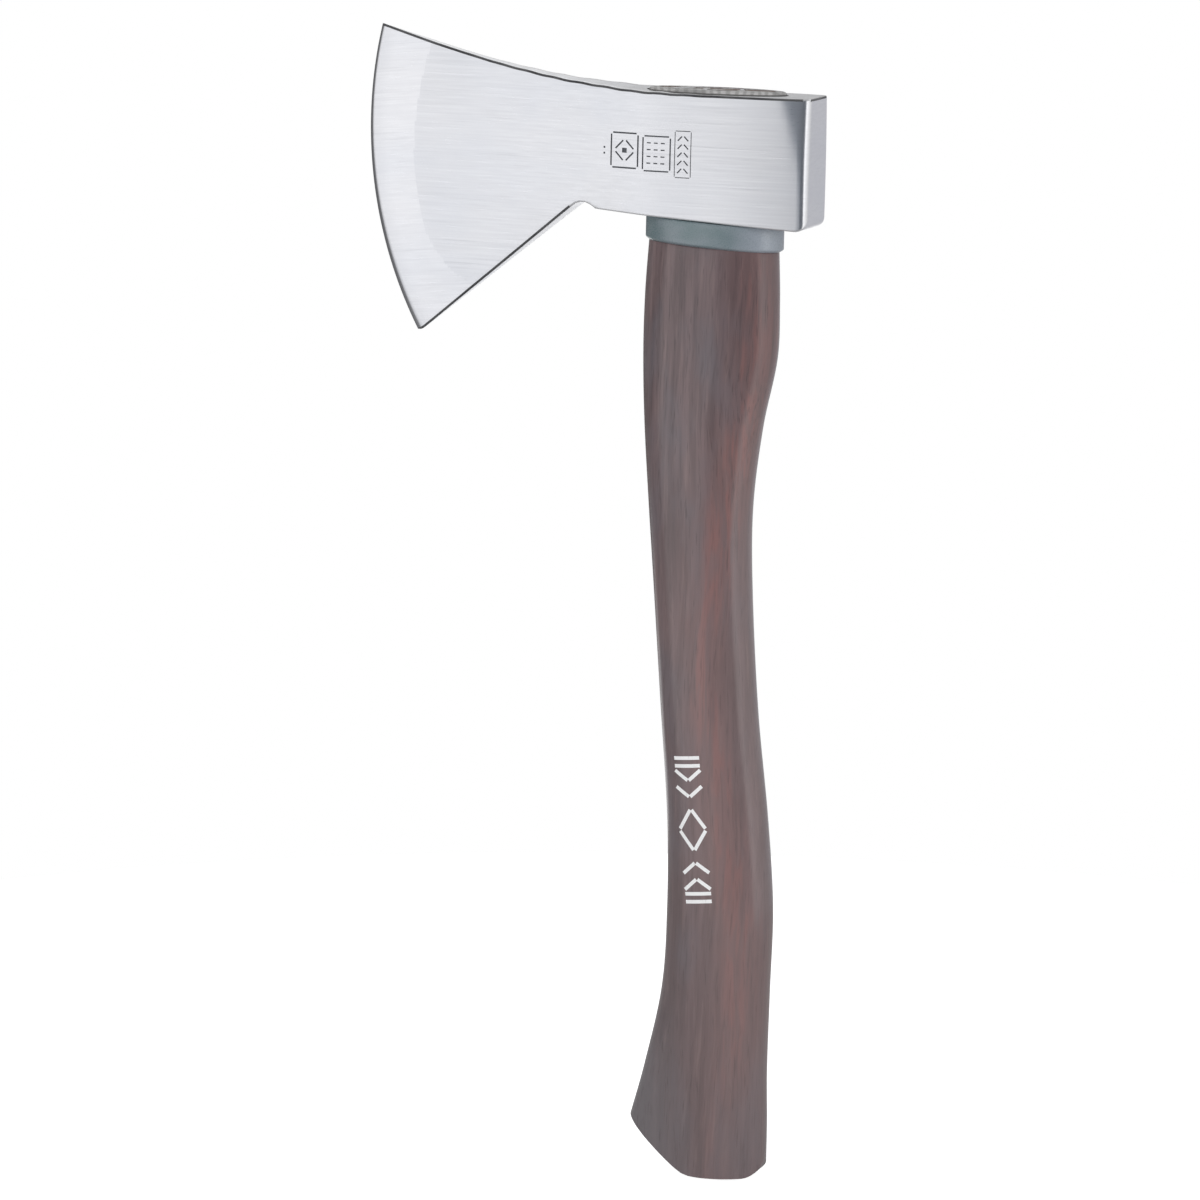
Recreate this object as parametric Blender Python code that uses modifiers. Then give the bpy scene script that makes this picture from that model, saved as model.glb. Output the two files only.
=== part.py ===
"""General-purpose hatchet: a ground steel head wedged onto a curved hickory handle.

The hatchet stands upright. +Z runs up the handle, the cutting edge is on the -X side,
the poll (the hammer face) on the +X side, and Y is the thickness. The origin is the
centre of the flat end of the handle. Units are metres.
"""

import math

import bmesh
import bpy
from mathutils import Matrix, Vector

MM = 0.001
GAP = 0.3 * MM                      # room kept between neighbouring pieces
OBJECT_NAME = "hatchet"

# Cutting edge: an arc in the XZ plane
EDGE_RADIUS = 135 * MM
EDGE_CENTRE_X = 11 * MM
EDGE_CENTRE_Z = 330 * MM
EDGE_THICKNESS = 0.3 * MM
BEVEL_HALF_ANGLE = math.radians(9.5)
EDGE_STEPS = 144

# Head seen from the side
POLL_X = 23.0 * MM
TOP_Z = 343.6 * MM
POLL_BOTTOM_Z = 302.45 * MM
TOE_RISE = 16.8 * MM                # height of the toe above the flat top
TOE_RISE_START_X = -20 * MM
TOE_RISE_LENGTH = 100 * MM
TOE_RISE_POWER = 1.7
TOE_DIP = 0.75 * MM                 # how far the middle of that rise sags
HEEL_X = -106.5 * MM
HEEL_Z = 263.5 * MM
NOTCH_X = -54.65 * MM
NOTCH_Z = 306.8 * MM
NOTCH_RADIUS = 5 * MM
OUTLINE_OVERSHOOT = 8 * MM          # outline runs this far past the cutting edge

# Head seen from above: half thicknesses
POLL_HALF = 11.3 * MM
CHEEK_HALF = 12.8 * MM
BLADE_HALF = 2.6 * MM
CHEEK_BACK_X = 12 * MM
CHEEK_FRONT_X = -31 * MM
BLADE_X = -108 * MM
BLADE_POWER = 2.1
CORNER_BEVEL = 0.8 * MM

# Eye: a tapered oval hole, wider at the top
EYE_X = -9.8 * MM
EYE_BOTTOM_LENGTH = 40.8 * MM
EYE_TOP_LENGTH = 44.6 * MM
EYE_ASPECT = 0.42                   # width over length
OVAL_SEGMENTS = 48

# Collar: an oval sleeve between the head and the shoulder of the handle
COLLAR_LENGTH = 44.2 * MM
COLLAR_WIDTH = 25 * MM
COLLAR_HEIGHT = 7.4 * MM
COLLAR_CHAMFER = 1.1 * MM
COLLAR_X = -9.6 * MM

# Handle
TENON_TOP_Z = 344.8 * MM
TENON_CHAMFER = 0.8 * MM
HANDLE_SEGMENTS = 40
HANDLE_RING_STEP = 8 * MM
GRIP_SQUARENESS = 2.3               # exponent of the superellipse, 2 is an ellipse
SHOULDER_SQUARENESS = 2.1
SHOULDER_START_Z = 250 * MM         # from here up the sections turn to the head's slope
SHOULDER_END_Z = 297 * MM
BUTT_ROUNDING = 3 * MM
# Height, front edge, back edge and thickness of the handle, in millimetres
HANDLE_STATIONS = (
    (0, -34.3, 14.9, 22.5),
    (17, -29.9, 14.8, 23.0),
    (34, -25.5, 14.3, 23.0),
    (60, -20.3, 14.5, 22.6),
    (87, -19.2, 14.8, 22.2),
    (115, -19.9, 12.4, 21.8),
    (150, -22.9, 8.1, 22.0),
    (190, -26.3, 5.1, 22.6),
    (215, -28.5, 4.7, 23.2),
    (240, -30.5, 7.3, 24.0),
    (262, -31.5, 11.4, 24.6),
    (280, -31.4, 11.7, 24.6),
    (297, -30.5, 11.1, 24.0),
)
FOOT_TIP_X = -29.5 * MM             # where the slanted front cut of the butt begins
FOOT_TIP_Z = 17.6 * MM
FOOT_CUT_ANGLE = math.radians(40)

# Wedges in the top of the handle
KERF_LENGTH = 37 * MM
KERF_TOP_WIDTH = 3.6 * MM
KERF_BOTTOM_WIDTH = 1.4 * MM
KERF_DEPTH = 30 * MM
RING_OUTER = 13.6 * MM
RING_INNER = 10.4 * MM
RING_DEPTH = 11 * MM
RING_TAPER = 1.2 * MM
RING_X = -8 * MM
FLAT_WEDGE_X = -20 * MM
FLAT_WEDGE_WIDTH = 12 * MM
FLAT_WEDGE_TOP = 2.6 * MM
FLAT_WEDGE_BOTTOM = 1.0 * MM
FLAT_WEDGE_DEPTH = 14 * MM
FLAT_WEDGE_TURN = math.radians(62)


# ---------------------------------------------------------------- helpers

def clear_scene():
    for old in list(bpy.data.objects):
        bpy.data.objects.remove(old, do_unlink=True)


def new_collection(name):
    collection = bpy.data.collections.new(name)
    bpy.context.scene.collection.children.link(collection)
    return collection


def material(name, colour, roughness, metallic):
    mat = bpy.data.materials.new(name)
    mat.use_nodes = True
    shader = mat.node_tree.nodes["Principled BSDF"]
    shader.inputs["Base Color"].default_value = (*colour, 1.0)
    shader.inputs["Roughness"].default_value = roughness
    shader.inputs["Metallic"].default_value = metallic
    return mat


def object_from_bmesh(bm, name, collection):
    bmesh.ops.recalc_face_normals(bm, faces=bm.faces)
    mesh = bpy.data.meshes.new(name)
    bm.to_mesh(mesh)
    bm.free()
    obj = bpy.data.objects.new(name, mesh)
    collection.objects.link(obj)
    return obj


def as_cutter(obj):
    obj.hide_render = True
    obj.display_type = "WIRE"
    return obj


def boolean(obj, cutter, operation="DIFFERENCE"):
    modifier = obj.modifiers.new(cutter.name, "BOOLEAN")
    modifier.object = cutter
    modifier.operation = operation
    modifier.solver = "EXACT"


def bevel(obj, width, segments, angle):
    modifier = obj.modifiers.new("Bevel", "BEVEL")
    modifier.width = width
    modifier.segments = segments
    modifier.limit_method = "ANGLE"
    modifier.angle_limit = angle


def finish(obj, mat, smooth_angle=30):
    obj.data.materials.append(mat)
    obj.data.shade_smooth()
    obj.data.set_sharp_from_angle(angle=math.radians(smooth_angle))


def mix(a, b, t):
    return a + (b - a) * t


def underside_z(x):
    """Height of the head's underside, which falls a little towards the poll."""
    return mix(POLL_BOTTOM_Z, NOTCH_Z, (POLL_X - x) / (POLL_X - NOTCH_X))


UNDERSIDE_SLOPE = (NOTCH_Z - POLL_BOTTOM_Z) / (NOTCH_X - POLL_X)


def flat_outline(name, points, plane, depth, collection):
    """A closed outline as a flat curve, thickened by depth to both sides, as a mesh."""
    curve = bpy.data.curves.new(name, "CURVE")
    curve.dimensions = "2D"
    curve.fill_mode = "BOTH"
    curve.extrude = depth
    spline = curve.splines.new("POLY")
    spline.points.add(len(points) - 1)
    for point, (u, v) in zip(spline.points, points):
        point.co = (u, v, 0, 1)
    spline.use_cyclic_u = True
    curve_object = bpy.data.objects.new(name + "_curve", curve)
    collection.objects.link(curve_object)
    curve_object.matrix_world = plane
    bpy.context.view_layer.update()
    evaluated = curve_object.evaluated_get(bpy.context.evaluated_depsgraph_get())
    bm = bmesh.new()
    bm.from_mesh(bpy.data.meshes.new_from_object(evaluated))
    bmesh.ops.remove_doubles(bm, verts=bm.verts, dist=0.001 * MM)
    obj = object_from_bmesh(bm, name, collection)
    obj.matrix_world = plane
    bpy.data.objects.remove(curve_object)
    return obj


def oval_cone(name, bottom, top, bottom_z, top_z, centre_x, collection):
    """A tapered oval: bottom and top are (length, width)."""
    bm = bmesh.new()
    bmesh.ops.create_cone(bm, cap_ends=True, segments=OVAL_SEGMENTS, radius1=0.5, radius2=0.5, depth=1)
    for vert in bm.verts:
        length, width = top if vert.co.z > 0 else bottom
        vert.co.x = centre_x + vert.co.x * length
        vert.co.y = vert.co.y * width
        vert.co.z = top_z if vert.co.z > 0 else bottom_z
    return object_from_bmesh(bm, name, collection)


def wedge_block(name, bottom, top, height, place, collection):
    """A box that narrows downwards from its top face, which lies at the place's origin."""
    bm = bmesh.new()
    bmesh.ops.create_cube(bm, size=1)
    for vert in bm.verts:
        length, width = top if vert.co.z > 0 else bottom
        vert.co.x *= length
        vert.co.y *= width
        vert.co.z = 0 if vert.co.z > 0 else -height
    bmesh.ops.transform(bm, matrix=place, verts=bm.verts)
    return object_from_bmesh(bm, name, collection)


# ---------------------------------------------------------------- head

def notch_points():
    """The rounded inner corner between the blade's lower edge and the underside."""
    corner = Vector((NOTCH_X, NOTCH_Z))
    to_heel = (Vector((HEEL_X, HEEL_Z)) - corner).normalized()
    to_poll = (Vector((POLL_X, POLL_BOTTOM_Z)) - corner).normalized()
    half_angle = to_heel.angle(to_poll) / 2
    centre = corner + (to_heel + to_poll).normalized() * (NOTCH_RADIUS / math.sin(half_angle))
    start = corner + to_heel * (NOTCH_RADIUS / math.tan(half_angle)) - centre
    end = corner + to_poll * (NOTCH_RADIUS / math.tan(half_angle)) - centre
    steps = 6
    return [centre + start.slerp(end, i / steps).normalized() * NOTCH_RADIUS for i in range(steps + 1)]


def head_side_points():
    points = [Vector((POLL_X, POLL_BOTTOM_Z)), Vector((POLL_X, TOP_Z))]
    steps = 12
    overrun = TOE_RISE_LENGTH + OUTLINE_OVERSHOOT
    for i in range(steps + 1):
        run = overrun * i / steps
        share = run / TOE_RISE_LENGTH
        rise = TOE_RISE * share**TOE_RISE_POWER - TOE_DIP * math.sin(math.pi * share) ** 2
        points.append(Vector((TOE_RISE_START_X - run, TOP_Z + rise)))
    corner = Vector((NOTCH_X, NOTCH_Z))
    heel = Vector((HEEL_X, HEEL_Z))
    past_heel = heel + (heel - corner).normalized() * OUTLINE_OVERSHOOT
    points.append(Vector((past_heel.x - 2 * OUTLINE_OVERSHOOT, past_heel.y)))
    points.append(past_heel)
    points.extend(notch_points())
    return points


def head_half_thickness(x):
    share = (x - BLADE_X) / (CHEEK_FRONT_X - BLADE_X)
    return BLADE_HALF + (CHEEK_HALF - BLADE_HALF) * max(share, 0) ** BLADE_POWER


def head_plan_points():
    """One side of the head from the poll to past the edge, then mirrored."""
    side = [(POLL_X, POLL_HALF), (CHEEK_BACK_X, CHEEK_HALF)]
    steps = 10
    for i in range(steps + 1):
        x = mix(CHEEK_FRONT_X, BLADE_X, i / steps)
        side.append((x, head_half_thickness(x)))
    side.append((EDGE_CENTRE_X - EDGE_RADIUS - OUTLINE_OVERSHOOT, BLADE_HALF))
    return side + [(x, -y) for x, y in reversed(side)]


def edge_lens(cutters):
    """A double cone about the edge arc's centre. Its rim is the cutting edge."""
    cone_height = EDGE_THICKNESS / 2 + EDGE_RADIUS * math.tan(BEVEL_HALF_ANGLE)
    profile = (
        (0, cone_height),
        (EDGE_RADIUS, EDGE_THICKNESS / 2),
        (EDGE_RADIUS, -EDGE_THICKNESS / 2),
        (0, -cone_height),
    )
    mesh = bpy.data.meshes.new("edge_lens")
    mesh.from_pydata([(r, 0, h) for r, h in profile], [(0, 1), (1, 2), (2, 3)], [])
    lens = bpy.data.objects.new("edge_lens", mesh)
    cutters.objects.link(lens)
    screw = lens.modifiers.new("Screw", "SCREW")
    screw.steps = EDGE_STEPS
    screw.render_steps = EDGE_STEPS
    screw.use_merge_vertices = True
    screw.merge_threshold = 0.001 * MM
    lens.location = (EDGE_CENTRE_X, 0, EDGE_CENTRE_Z)
    lens.rotation_euler = (math.pi / 2, 0, 0)
    return as_cutter(lens)


def eye_cutter(cutters):
    """The eye, continued past both faces of the head at its own taper."""
    over = 10 * MM
    slope = (EYE_TOP_LENGTH - EYE_BOTTOM_LENGTH) / (TOP_Z - POLL_BOTTOM_Z)
    low = EYE_BOTTOM_LENGTH - slope * over
    high = EYE_TOP_LENGTH + slope * over
    bottom = (low, low * EYE_ASPECT)
    top = (high, high * EYE_ASPECT)
    cutter = oval_cone("eye_cutter", bottom, top, POLL_BOTTOM_Z - over, TOP_Z + over, EYE_X, cutters)
    return as_cutter(cutter)


def eye_length(z):
    share = (z - POLL_BOTTOM_Z) / (TOP_Z - POLL_BOTTOM_Z)
    return mix(EYE_BOTTOM_LENGTH, EYE_TOP_LENGTH, share)


def make_head(parts, cutters, steel):
    side_plane = Matrix.Rotation(math.pi / 2, 4, "X")
    side_depth = CHEEK_HALF + OUTLINE_OVERSHOOT
    head = flat_outline("axe_head", head_side_points(), side_plane, side_depth, parts)
    plan_plane = Matrix.Translation((0, 0, (TOP_Z + HEEL_Z) / 2))
    plan_depth = TOP_Z - HEEL_Z
    plan = flat_outline("head_plan", head_plan_points(), plan_plane, plan_depth, cutters)
    boolean(head, as_cutter(plan), "INTERSECT")
    bevel(head, CORNER_BEVEL, 1, math.radians(50))
    boolean(head, edge_lens(cutters), "INTERSECT")
    boolean(head, eye_cutter(cutters))
    finish(head, steel)
    return head


# ---------------------------------------------------------------- handle

def smooth_value(stations, z, column):
    """Cubic interpolation of one column of the stations at height z."""
    last = len(stations) - 2
    index = max(i for i in range(last + 1) if i == 0 or stations[i][0] <= z)
    here = stations[index]
    after = stations[index + 1]
    before = stations[max(index - 1, 0)]
    beyond = stations[min(index + 2, last + 1)]
    span = after[0] - here[0]
    slope_here = (after[column] - before[column]) / (after[0] - before[0])
    slope_after = (beyond[column] - here[column]) / (beyond[0] - here[0])
    t = (z - here[0]) / span
    return (
        (2 * t**3 - 3 * t**2 + 1) * here[column]
        + (t**3 - 2 * t**2 + t) * span * slope_here
        + (3 * t**2 - 2 * t**3) * after[column]
        + (t**3 - t**2) * span * slope_after
    )


def oval_ring(centre_x, half_length, half_width, z, tilt, squareness, segments):
    """One oval section, tilted by slope tilt about its centre."""
    ring = []
    for i in range(segments):
        angle = 2 * math.pi * i / segments
        c, s = math.cos(angle), math.sin(angle)
        x = math.copysign(abs(c) ** (2 / squareness), c) * half_length
        y = math.copysign(abs(s) ** (2 / squareness), s) * half_width
        ring.append(Vector((centre_x + x, y, z + tilt * x)))
    return ring


def body_ring(z, inset=0.0):
    front = smooth_value(HANDLE_STATIONS, z / MM, 1) * MM
    back = smooth_value(HANDLE_STATIONS, z / MM, 2) * MM
    thickness = smooth_value(HANDLE_STATIONS, z / MM, 3) * MM
    blend = (z - SHOULDER_START_Z) / (SHOULDER_END_Z - SHOULDER_START_Z)
    blend = min(max(blend, 0), 1)
    half_length = (back - front) / 2 - inset
    half_width = thickness / 2 - inset
    squareness = mix(GRIP_SQUARENESS, SHOULDER_SQUARENESS, blend)
    tilt = UNDERSIDE_SLOPE * blend
    return oval_ring((front + back) / 2, half_length, half_width, z, tilt, squareness, HANDLE_SEGMENTS)


def tenon_ring(z, inset=0.0, tilt=0.0):
    half_length = eye_length(z) / 2 - GAP - inset
    half_width = eye_length(z) * EYE_ASPECT / 2 - GAP - inset
    return oval_ring(EYE_X, half_length, half_width, z, tilt, 2, HANDLE_SEGMENTS)


def shoulder_z():
    return underside_z(COLLAR_X) - GAP - COLLAR_HEIGHT - GAP


def handle_rings():
    rings = []
    corner_steps = 3
    for i in range(corner_steps):
        angle = math.pi / 2 * i / corner_steps
        inset = BUTT_ROUNDING * (1 - math.sin(angle))
        rings.append(body_ring(BUTT_ROUNDING * (1 - math.cos(angle)), inset))
    top = shoulder_z()
    count = round((top - BUTT_ROUNDING) / HANDLE_RING_STEP)
    for i in range(count + 1):
        rings.append(body_ring(mix(BUTT_ROUNDING, top, i / count)))
    rings.append(tenon_ring(top, 0, UNDERSIDE_SLOPE))
    rings.append(tenon_ring(TENON_TOP_Z - TENON_CHAMFER))
    rings.append(tenon_ring(TENON_TOP_Z, TENON_CHAMFER))
    return rings


def loft(name, rings, collection):
    bm = bmesh.new()
    loops = [[bm.verts.new(point) for point in ring] for ring in rings]
    for lower, upper in zip(loops, loops[1:]):
        for i in range(len(lower)):
            j = (i + 1) % len(lower)
            bm.faces.new((lower[i], lower[j], upper[j], upper[i]))
    bm.faces.new(list(reversed(loops[0])))
    bm.faces.new(loops[-1])
    return object_from_bmesh(bm, name, collection)


def foot_cutter(cutters):
    """Takes the slanted facet off the front of the handle's end."""
    size = 60 * MM
    bm = bmesh.new()
    bmesh.ops.create_cube(bm, size=size)
    turn = Matrix.Rotation(FOOT_CUT_ANGLE, 4, "Y")
    offset = Matrix.Translation((0, 0, -size / 2))
    place = Matrix.Translation((FOOT_TIP_X, 0, FOOT_TIP_Z))
    bmesh.ops.transform(bm, matrix=place @ turn @ offset, verts=bm.verts)
    return as_cutter(object_from_bmesh(bm, "foot_cutter", cutters))


def kerf_block(name, grow, collection):
    """The wooden wedge, or with grow the kerf that it sits in."""
    place = Matrix.Translation((EYE_X, 0, TENON_TOP_Z + 2 * grow))
    top = (KERF_LENGTH + 2 * grow, KERF_TOP_WIDTH + 2 * grow)
    bottom = (KERF_LENGTH + 2 * grow, KERF_BOTTOM_WIDTH + 2 * grow)
    return wedge_block(name, bottom, top, KERF_DEPTH + 3 * grow, place, collection)


def ring_slot(cutters):
    """The slot that the ring wedge cuts for itself."""
    outer = (RING_OUTER + 2 * GAP, RING_OUTER + 2 * GAP)
    inner = (RING_INNER - 2 * GAP, RING_INNER - 2 * GAP)
    top = TENON_TOP_Z + MM
    bottom = TENON_TOP_Z - RING_DEPTH - GAP
    slot = oval_cone("ring_slot", outer, outer, bottom, top, RING_X, cutters)
    core = oval_cone("ring_core", inner, inner, bottom - MM, top + MM, RING_X, cutters)
    boolean(slot, as_cutter(core))
    return as_cutter(slot)


def flat_wedge_block(name, grow, collection):
    turn = Matrix.Rotation(FLAT_WEDGE_TURN, 4, "Z")
    place = Matrix.Translation((FLAT_WEDGE_X, 0, TENON_TOP_Z + 2 * grow)) @ turn
    top = (FLAT_WEDGE_WIDTH + 2 * grow, FLAT_WEDGE_TOP + 2 * grow)
    bottom = (FLAT_WEDGE_WIDTH + 2 * grow, FLAT_WEDGE_BOTTOM + 2 * grow)
    return wedge_block(name, bottom, top, FLAT_WEDGE_DEPTH + 3 * grow, place, collection)


def make_handle(parts, cutters, hickory):
    handle = loft("handle", handle_rings(), parts)
    boolean(handle, foot_cutter(cutters))
    boolean(handle, as_cutter(kerf_block("kerf_cutter", GAP, cutters)))
    boolean(handle, bpy.data.objects["ring_slot"])
    boolean(handle, bpy.data.objects["flat_wedge_slot"])
    finish(handle, hickory)
    return handle


# ---------------------------------------------------------------- small pieces

def make_collar(parts, cutters, plastic):
    bottom_z = shoulder_z() + GAP
    size = (COLLAR_LENGTH, COLLAR_WIDTH)
    collar = oval_cone("handle_collar", size, size, bottom_z, bottom_z + COLLAR_HEIGHT, COLLAR_X, parts)
    for vert in collar.data.vertices:
        vert.co.z += UNDERSIDE_SLOPE * (vert.co.x - COLLAR_X)
    bevel(collar, COLLAR_CHAMFER, 1, math.radians(50))
    over = 5 * MM
    low = bottom_z - over
    high = bottom_z + COLLAR_HEIGHT + over
    lengths = [eye_length(z) for z in (low, high)]
    sizes = [(length, length * EYE_ASPECT) for length in lengths]
    hole = oval_cone("collar_hole", sizes[0], sizes[1], low, high, EYE_X, cutters)
    boolean(collar, as_cutter(hole))
    finish(collar, plastic)
    return collar


def make_wooden_wedge(parts, beech):
    wedge = kerf_block("wooden_wedge", 0, parts)
    boolean(wedge, bpy.data.objects["ring_slot"])
    boolean(wedge, bpy.data.objects["flat_wedge_slot"])
    finish(wedge, beech)
    return wedge


def make_ring_wedge(parts, cutters, steel):
    top = TENON_TOP_Z
    bottom = TENON_TOP_Z - RING_DEPTH
    tip = (RING_OUTER - RING_TAPER, RING_OUTER - RING_TAPER)
    mouth = (RING_OUTER, RING_OUTER)
    ring = oval_cone("ring_wedge", tip, mouth, bottom, top, RING_X, parts)
    bore = (RING_INNER, RING_INNER)
    cutter = oval_cone("ring_bore", bore, bore, bottom - MM, top + MM, RING_X, cutters)
    boolean(ring, as_cutter(cutter))
    finish(ring, steel)
    return ring


def make_flat_wedge(parts, steel):
    wedge = flat_wedge_block("flat_wedge", 0, parts)
    finish(wedge, steel)
    return wedge


def main():
    clear_scene()
    parts = new_collection(OBJECT_NAME)
    cutters = new_collection("cutters")

    ground_steel = material("ground_steel", (0.62, 0.64, 0.68), 0.32, 1.0)
    wedge_steel = material("wedge_steel", (0.42, 0.42, 0.43), 0.5, 1.0)
    hickory = material("stained_hickory", (0.17, 0.11, 0.11), 0.55, 0.0)
    beech = material("wedge_beech", (0.42, 0.29, 0.17), 0.7, 0.0)
    plastic = material("grey_plastic", (0.12, 0.17, 0.18), 0.5, 0.0)

    ring_slot(cutters)
    as_cutter(flat_wedge_block("flat_wedge_slot", GAP, cutters))

    make_head(parts, cutters, ground_steel)
    make_handle(parts, cutters, hickory)
    make_collar(parts, cutters, plastic)
    make_wooden_wedge(parts, beech)
    make_ring_wedge(parts, cutters, wedge_steel)
    make_flat_wedge(parts, wedge_steel)


main()
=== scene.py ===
import math

import bmesh
import bpy
from mathutils import Matrix, Quaternion, Vector


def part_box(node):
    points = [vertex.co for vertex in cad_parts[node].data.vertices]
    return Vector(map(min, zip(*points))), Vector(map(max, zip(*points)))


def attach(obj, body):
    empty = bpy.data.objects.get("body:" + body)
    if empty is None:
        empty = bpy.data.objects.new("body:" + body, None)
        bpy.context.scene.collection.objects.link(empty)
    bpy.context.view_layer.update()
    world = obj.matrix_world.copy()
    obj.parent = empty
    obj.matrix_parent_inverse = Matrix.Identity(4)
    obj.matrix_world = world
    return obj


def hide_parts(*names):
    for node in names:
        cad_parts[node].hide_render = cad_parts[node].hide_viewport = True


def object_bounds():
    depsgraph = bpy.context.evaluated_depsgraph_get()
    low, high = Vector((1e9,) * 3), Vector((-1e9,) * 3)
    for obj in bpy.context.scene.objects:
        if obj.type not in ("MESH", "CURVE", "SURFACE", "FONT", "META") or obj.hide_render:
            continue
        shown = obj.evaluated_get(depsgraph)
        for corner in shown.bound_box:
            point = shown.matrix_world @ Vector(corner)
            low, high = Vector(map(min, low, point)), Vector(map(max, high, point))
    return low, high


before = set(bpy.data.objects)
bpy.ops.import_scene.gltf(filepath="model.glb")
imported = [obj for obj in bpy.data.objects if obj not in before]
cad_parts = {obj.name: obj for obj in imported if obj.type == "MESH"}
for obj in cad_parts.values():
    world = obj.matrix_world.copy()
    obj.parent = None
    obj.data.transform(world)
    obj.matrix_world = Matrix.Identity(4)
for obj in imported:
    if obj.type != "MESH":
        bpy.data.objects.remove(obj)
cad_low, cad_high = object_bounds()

# The hatchet stands upright: +Z up the handle, cutting edge at -X, poll at +X,
# thickness along Y. Lengths are in metres, mostly written as millimetres times MM.
MM = 0.001
ROOT = "root"

head_low, head_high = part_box("axe_head")
handle_low, handle_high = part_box("handle")
collar_low, collar_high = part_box("handle_collar")

# Head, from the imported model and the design's own proportions
POLL_X = head_high.x
CHEEK_HALF = head_high.y
EDGE_RADIUS = 135 * MM
EDGE_CENTRE = Vector((head_low.x + EDGE_RADIUS, 330 * MM))
TOP_Z = 343.6 * MM
POLL_BOTTOM_Z = 302.45 * MM
TOE_RISE = 16.8 * MM
TOE_RISE_START_X = -20 * MM
TOE_RISE_LENGTH = 100 * MM
TOE_RISE_POWER = 1.7
TOE_DIP = 0.75 * MM
HEEL = Vector((-106.5 * MM, 263.5 * MM))
HEEL_FLOOR_Z = 264.3 * MM
HEEL_SOFTNESS = 0.5 * MM
NOTCH = Vector((-54.65 * MM, 306.8 * MM))
NOTCH_CREST_Z = 308.3 * MM
NOTCH_RELIEF_X = -51.2 * MM
NOTCH_RELIEF_RADIUS = 6 * MM
RELIEF_SOFTNESS = 0.4 * MM
NOTCH_SOFTNESS = 1.0 * MM
UNDERSIDE_SLOPE = (NOTCH.y - POLL_BOTTOM_Z) / (NOTCH.x - POLL_X)

# Waves that grinding by hand leaves along the top, between the toe and the poll
TOP_WAVE = 0.09 * MM
TOP_WAVE_FRONT_X = -92 * MM
TOP_WAVE_FRONT_FADE = 25 * MM
TOP_WAVE_BACK_X = -2 * MM
TOP_WAVE_BACK_FADE = 20 * MM
TOP_WAVE_SHORT = 1.45 * MM
TOP_WAVE_LONG = 3.9 * MM

# Head thickness
BLADE_X = -108.7 * MM
BLADE_HALF = 2.5 * MM
BLADE_CROWN = 0.9 * MM
CHEEK_CROWN = 0.3 * MM
CHEEK_FRONT_X = -31 * MM
CHEEK_BACK_X = -8 * MM
POLL_TAPER = 1.25 * MM
POLL_RELIEF_LENGTH = 7 * MM
POLL_RELIEF_SLOPE = 0.15
MICRO_BEVEL_TOE = 0.95 * MM
MICRO_BEVEL_HEEL_EXTRA = 0.75 * MM
MICRO_BEVEL_SLOPE = 0.43
EDGE_HALF = 0.04 * MM
BEVEL_ZONE = 27 * MM
RIM_RADIUS = 0.6 * MM
POLL_CORNER_RADIUS = 2.3 * MM
POLL_TOP_RADIUS = 0.5 * MM
POLL_BOTTOM_RADIUS = 3.8 * MM

# The head's mesh: rows up each column, and columns from the cutting edge to the poll
RIM_ROWS = 1.15 * RIM_RADIUS
RIM_ROWS_END = 1.6 * MM
INNER_ROWS = 58
EDGE_LENGTH = 95 * MM
MICRO_COLUMNS = (0.0, 0.35, 0.7, 1.0)
BEVEL_COLUMNS = 42
BEVEL_COLUMNS_START = 2.2 * MM
CHEEK_COLUMNS = 59
CHEEK_INSET = 3.6 * MM
CHEEK_STRAIGHTENING = 1.0944
CORNER_INSET = 3.3 * MM
WALL_STEPS = 6
EYE_SEGMENTS = 128

# Finishes on the head, and widths of the honed strip, the dark rims and the poll's dark upper edge; the
# dark rims are partly forged steel and partly painted dark reflection, and the poll's dark upper edge is
# painted dark reflection
STEEL, FORGED_AND_SHADED, STAMP, BEVEL, TOP = range(5)
STEEL_LIGHT, STEEL_DARK = (0.83, 0.833, 0.85), (0.76, 0.763, 0.785)
BEVEL_LIGHT, BEVEL_DARK = (0.88, 0.88, 0.895), (0.82, 0.82, 0.84)
BEVEL_LINE_TURN = math.radians(6)
HONED_STRIP = 0.3 * MM
DARK_RIM = 0.72 * MM
POLL_RIM = 0.42 * MM

# Stamped marks
STAMP_DEPTH = 0.22 * MM
STAMP_STAND_OFF = 0.4 * MM
STAMP_STEP = 1.2 * MM

# Eye and tenon
EYE_X = -9.8 * MM
EYE_BOTTOM_LENGTH = 40.8 * MM
EYE_TOP_LENGTH = 44.6 * MM
EYE_ASPECT = 0.42
EYE_CHAMFER = 0.5 * MM
TENON_TOP_Z = handle_high.z
END_GRAIN_Z = TOP_Z + 0.05 * MM

# Handle sections: height, front edge, back edge and thickness, in millimetres
HANDLE_STATIONS = (
    (0, -34.3, 14.9, 22.5),
    (17, -29.9, 14.8, 23.0),
    (34, -25.5, 14.3, 23.0),
    (60, -20.3, 14.5, 22.6),
    (87, -19.2, 14.8, 22.2),
    (115, -19.9, 12.4, 21.8),
    (150, -22.9, 8.1, 22.0),
    (190, -26.3, 5.1, 22.6),
    (215, -28.5, 4.7, 23.2),
    (240, -30.5, 7.3, 24.0),
    (262, -31.5, 11.4, 24.6),
    (280, -31.4, 11.7, 24.6),
    (297, -30.5, 11.1, 24.0),
)
HANDLE_SEGMENTS = 96
HANDLE_FOOT_Z = 48 * MM
FOOT_RINGS = 34
GRIP_RINGS = 151
FOOT_TIP = Vector((-29.5 * MM, 17.6 * MM))
FOOT_SLOPE = math.tan(math.radians(40))
FOOT_SOFTNESS = 1.8 * MM
END_MIDDLE_X = -4 * MM
END_LOWEST_X = -3 * MM
END_DOME = 0.75 * MM
END_BACK_X = 14.9 * MM
END_BACK_RADIUS = 5.5 * MM
GRIP_SQUARENESS = 2.3
SHOULDER_SQUARENESS = 2.1
SHOULDER_START_Z = 250 * MM
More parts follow.
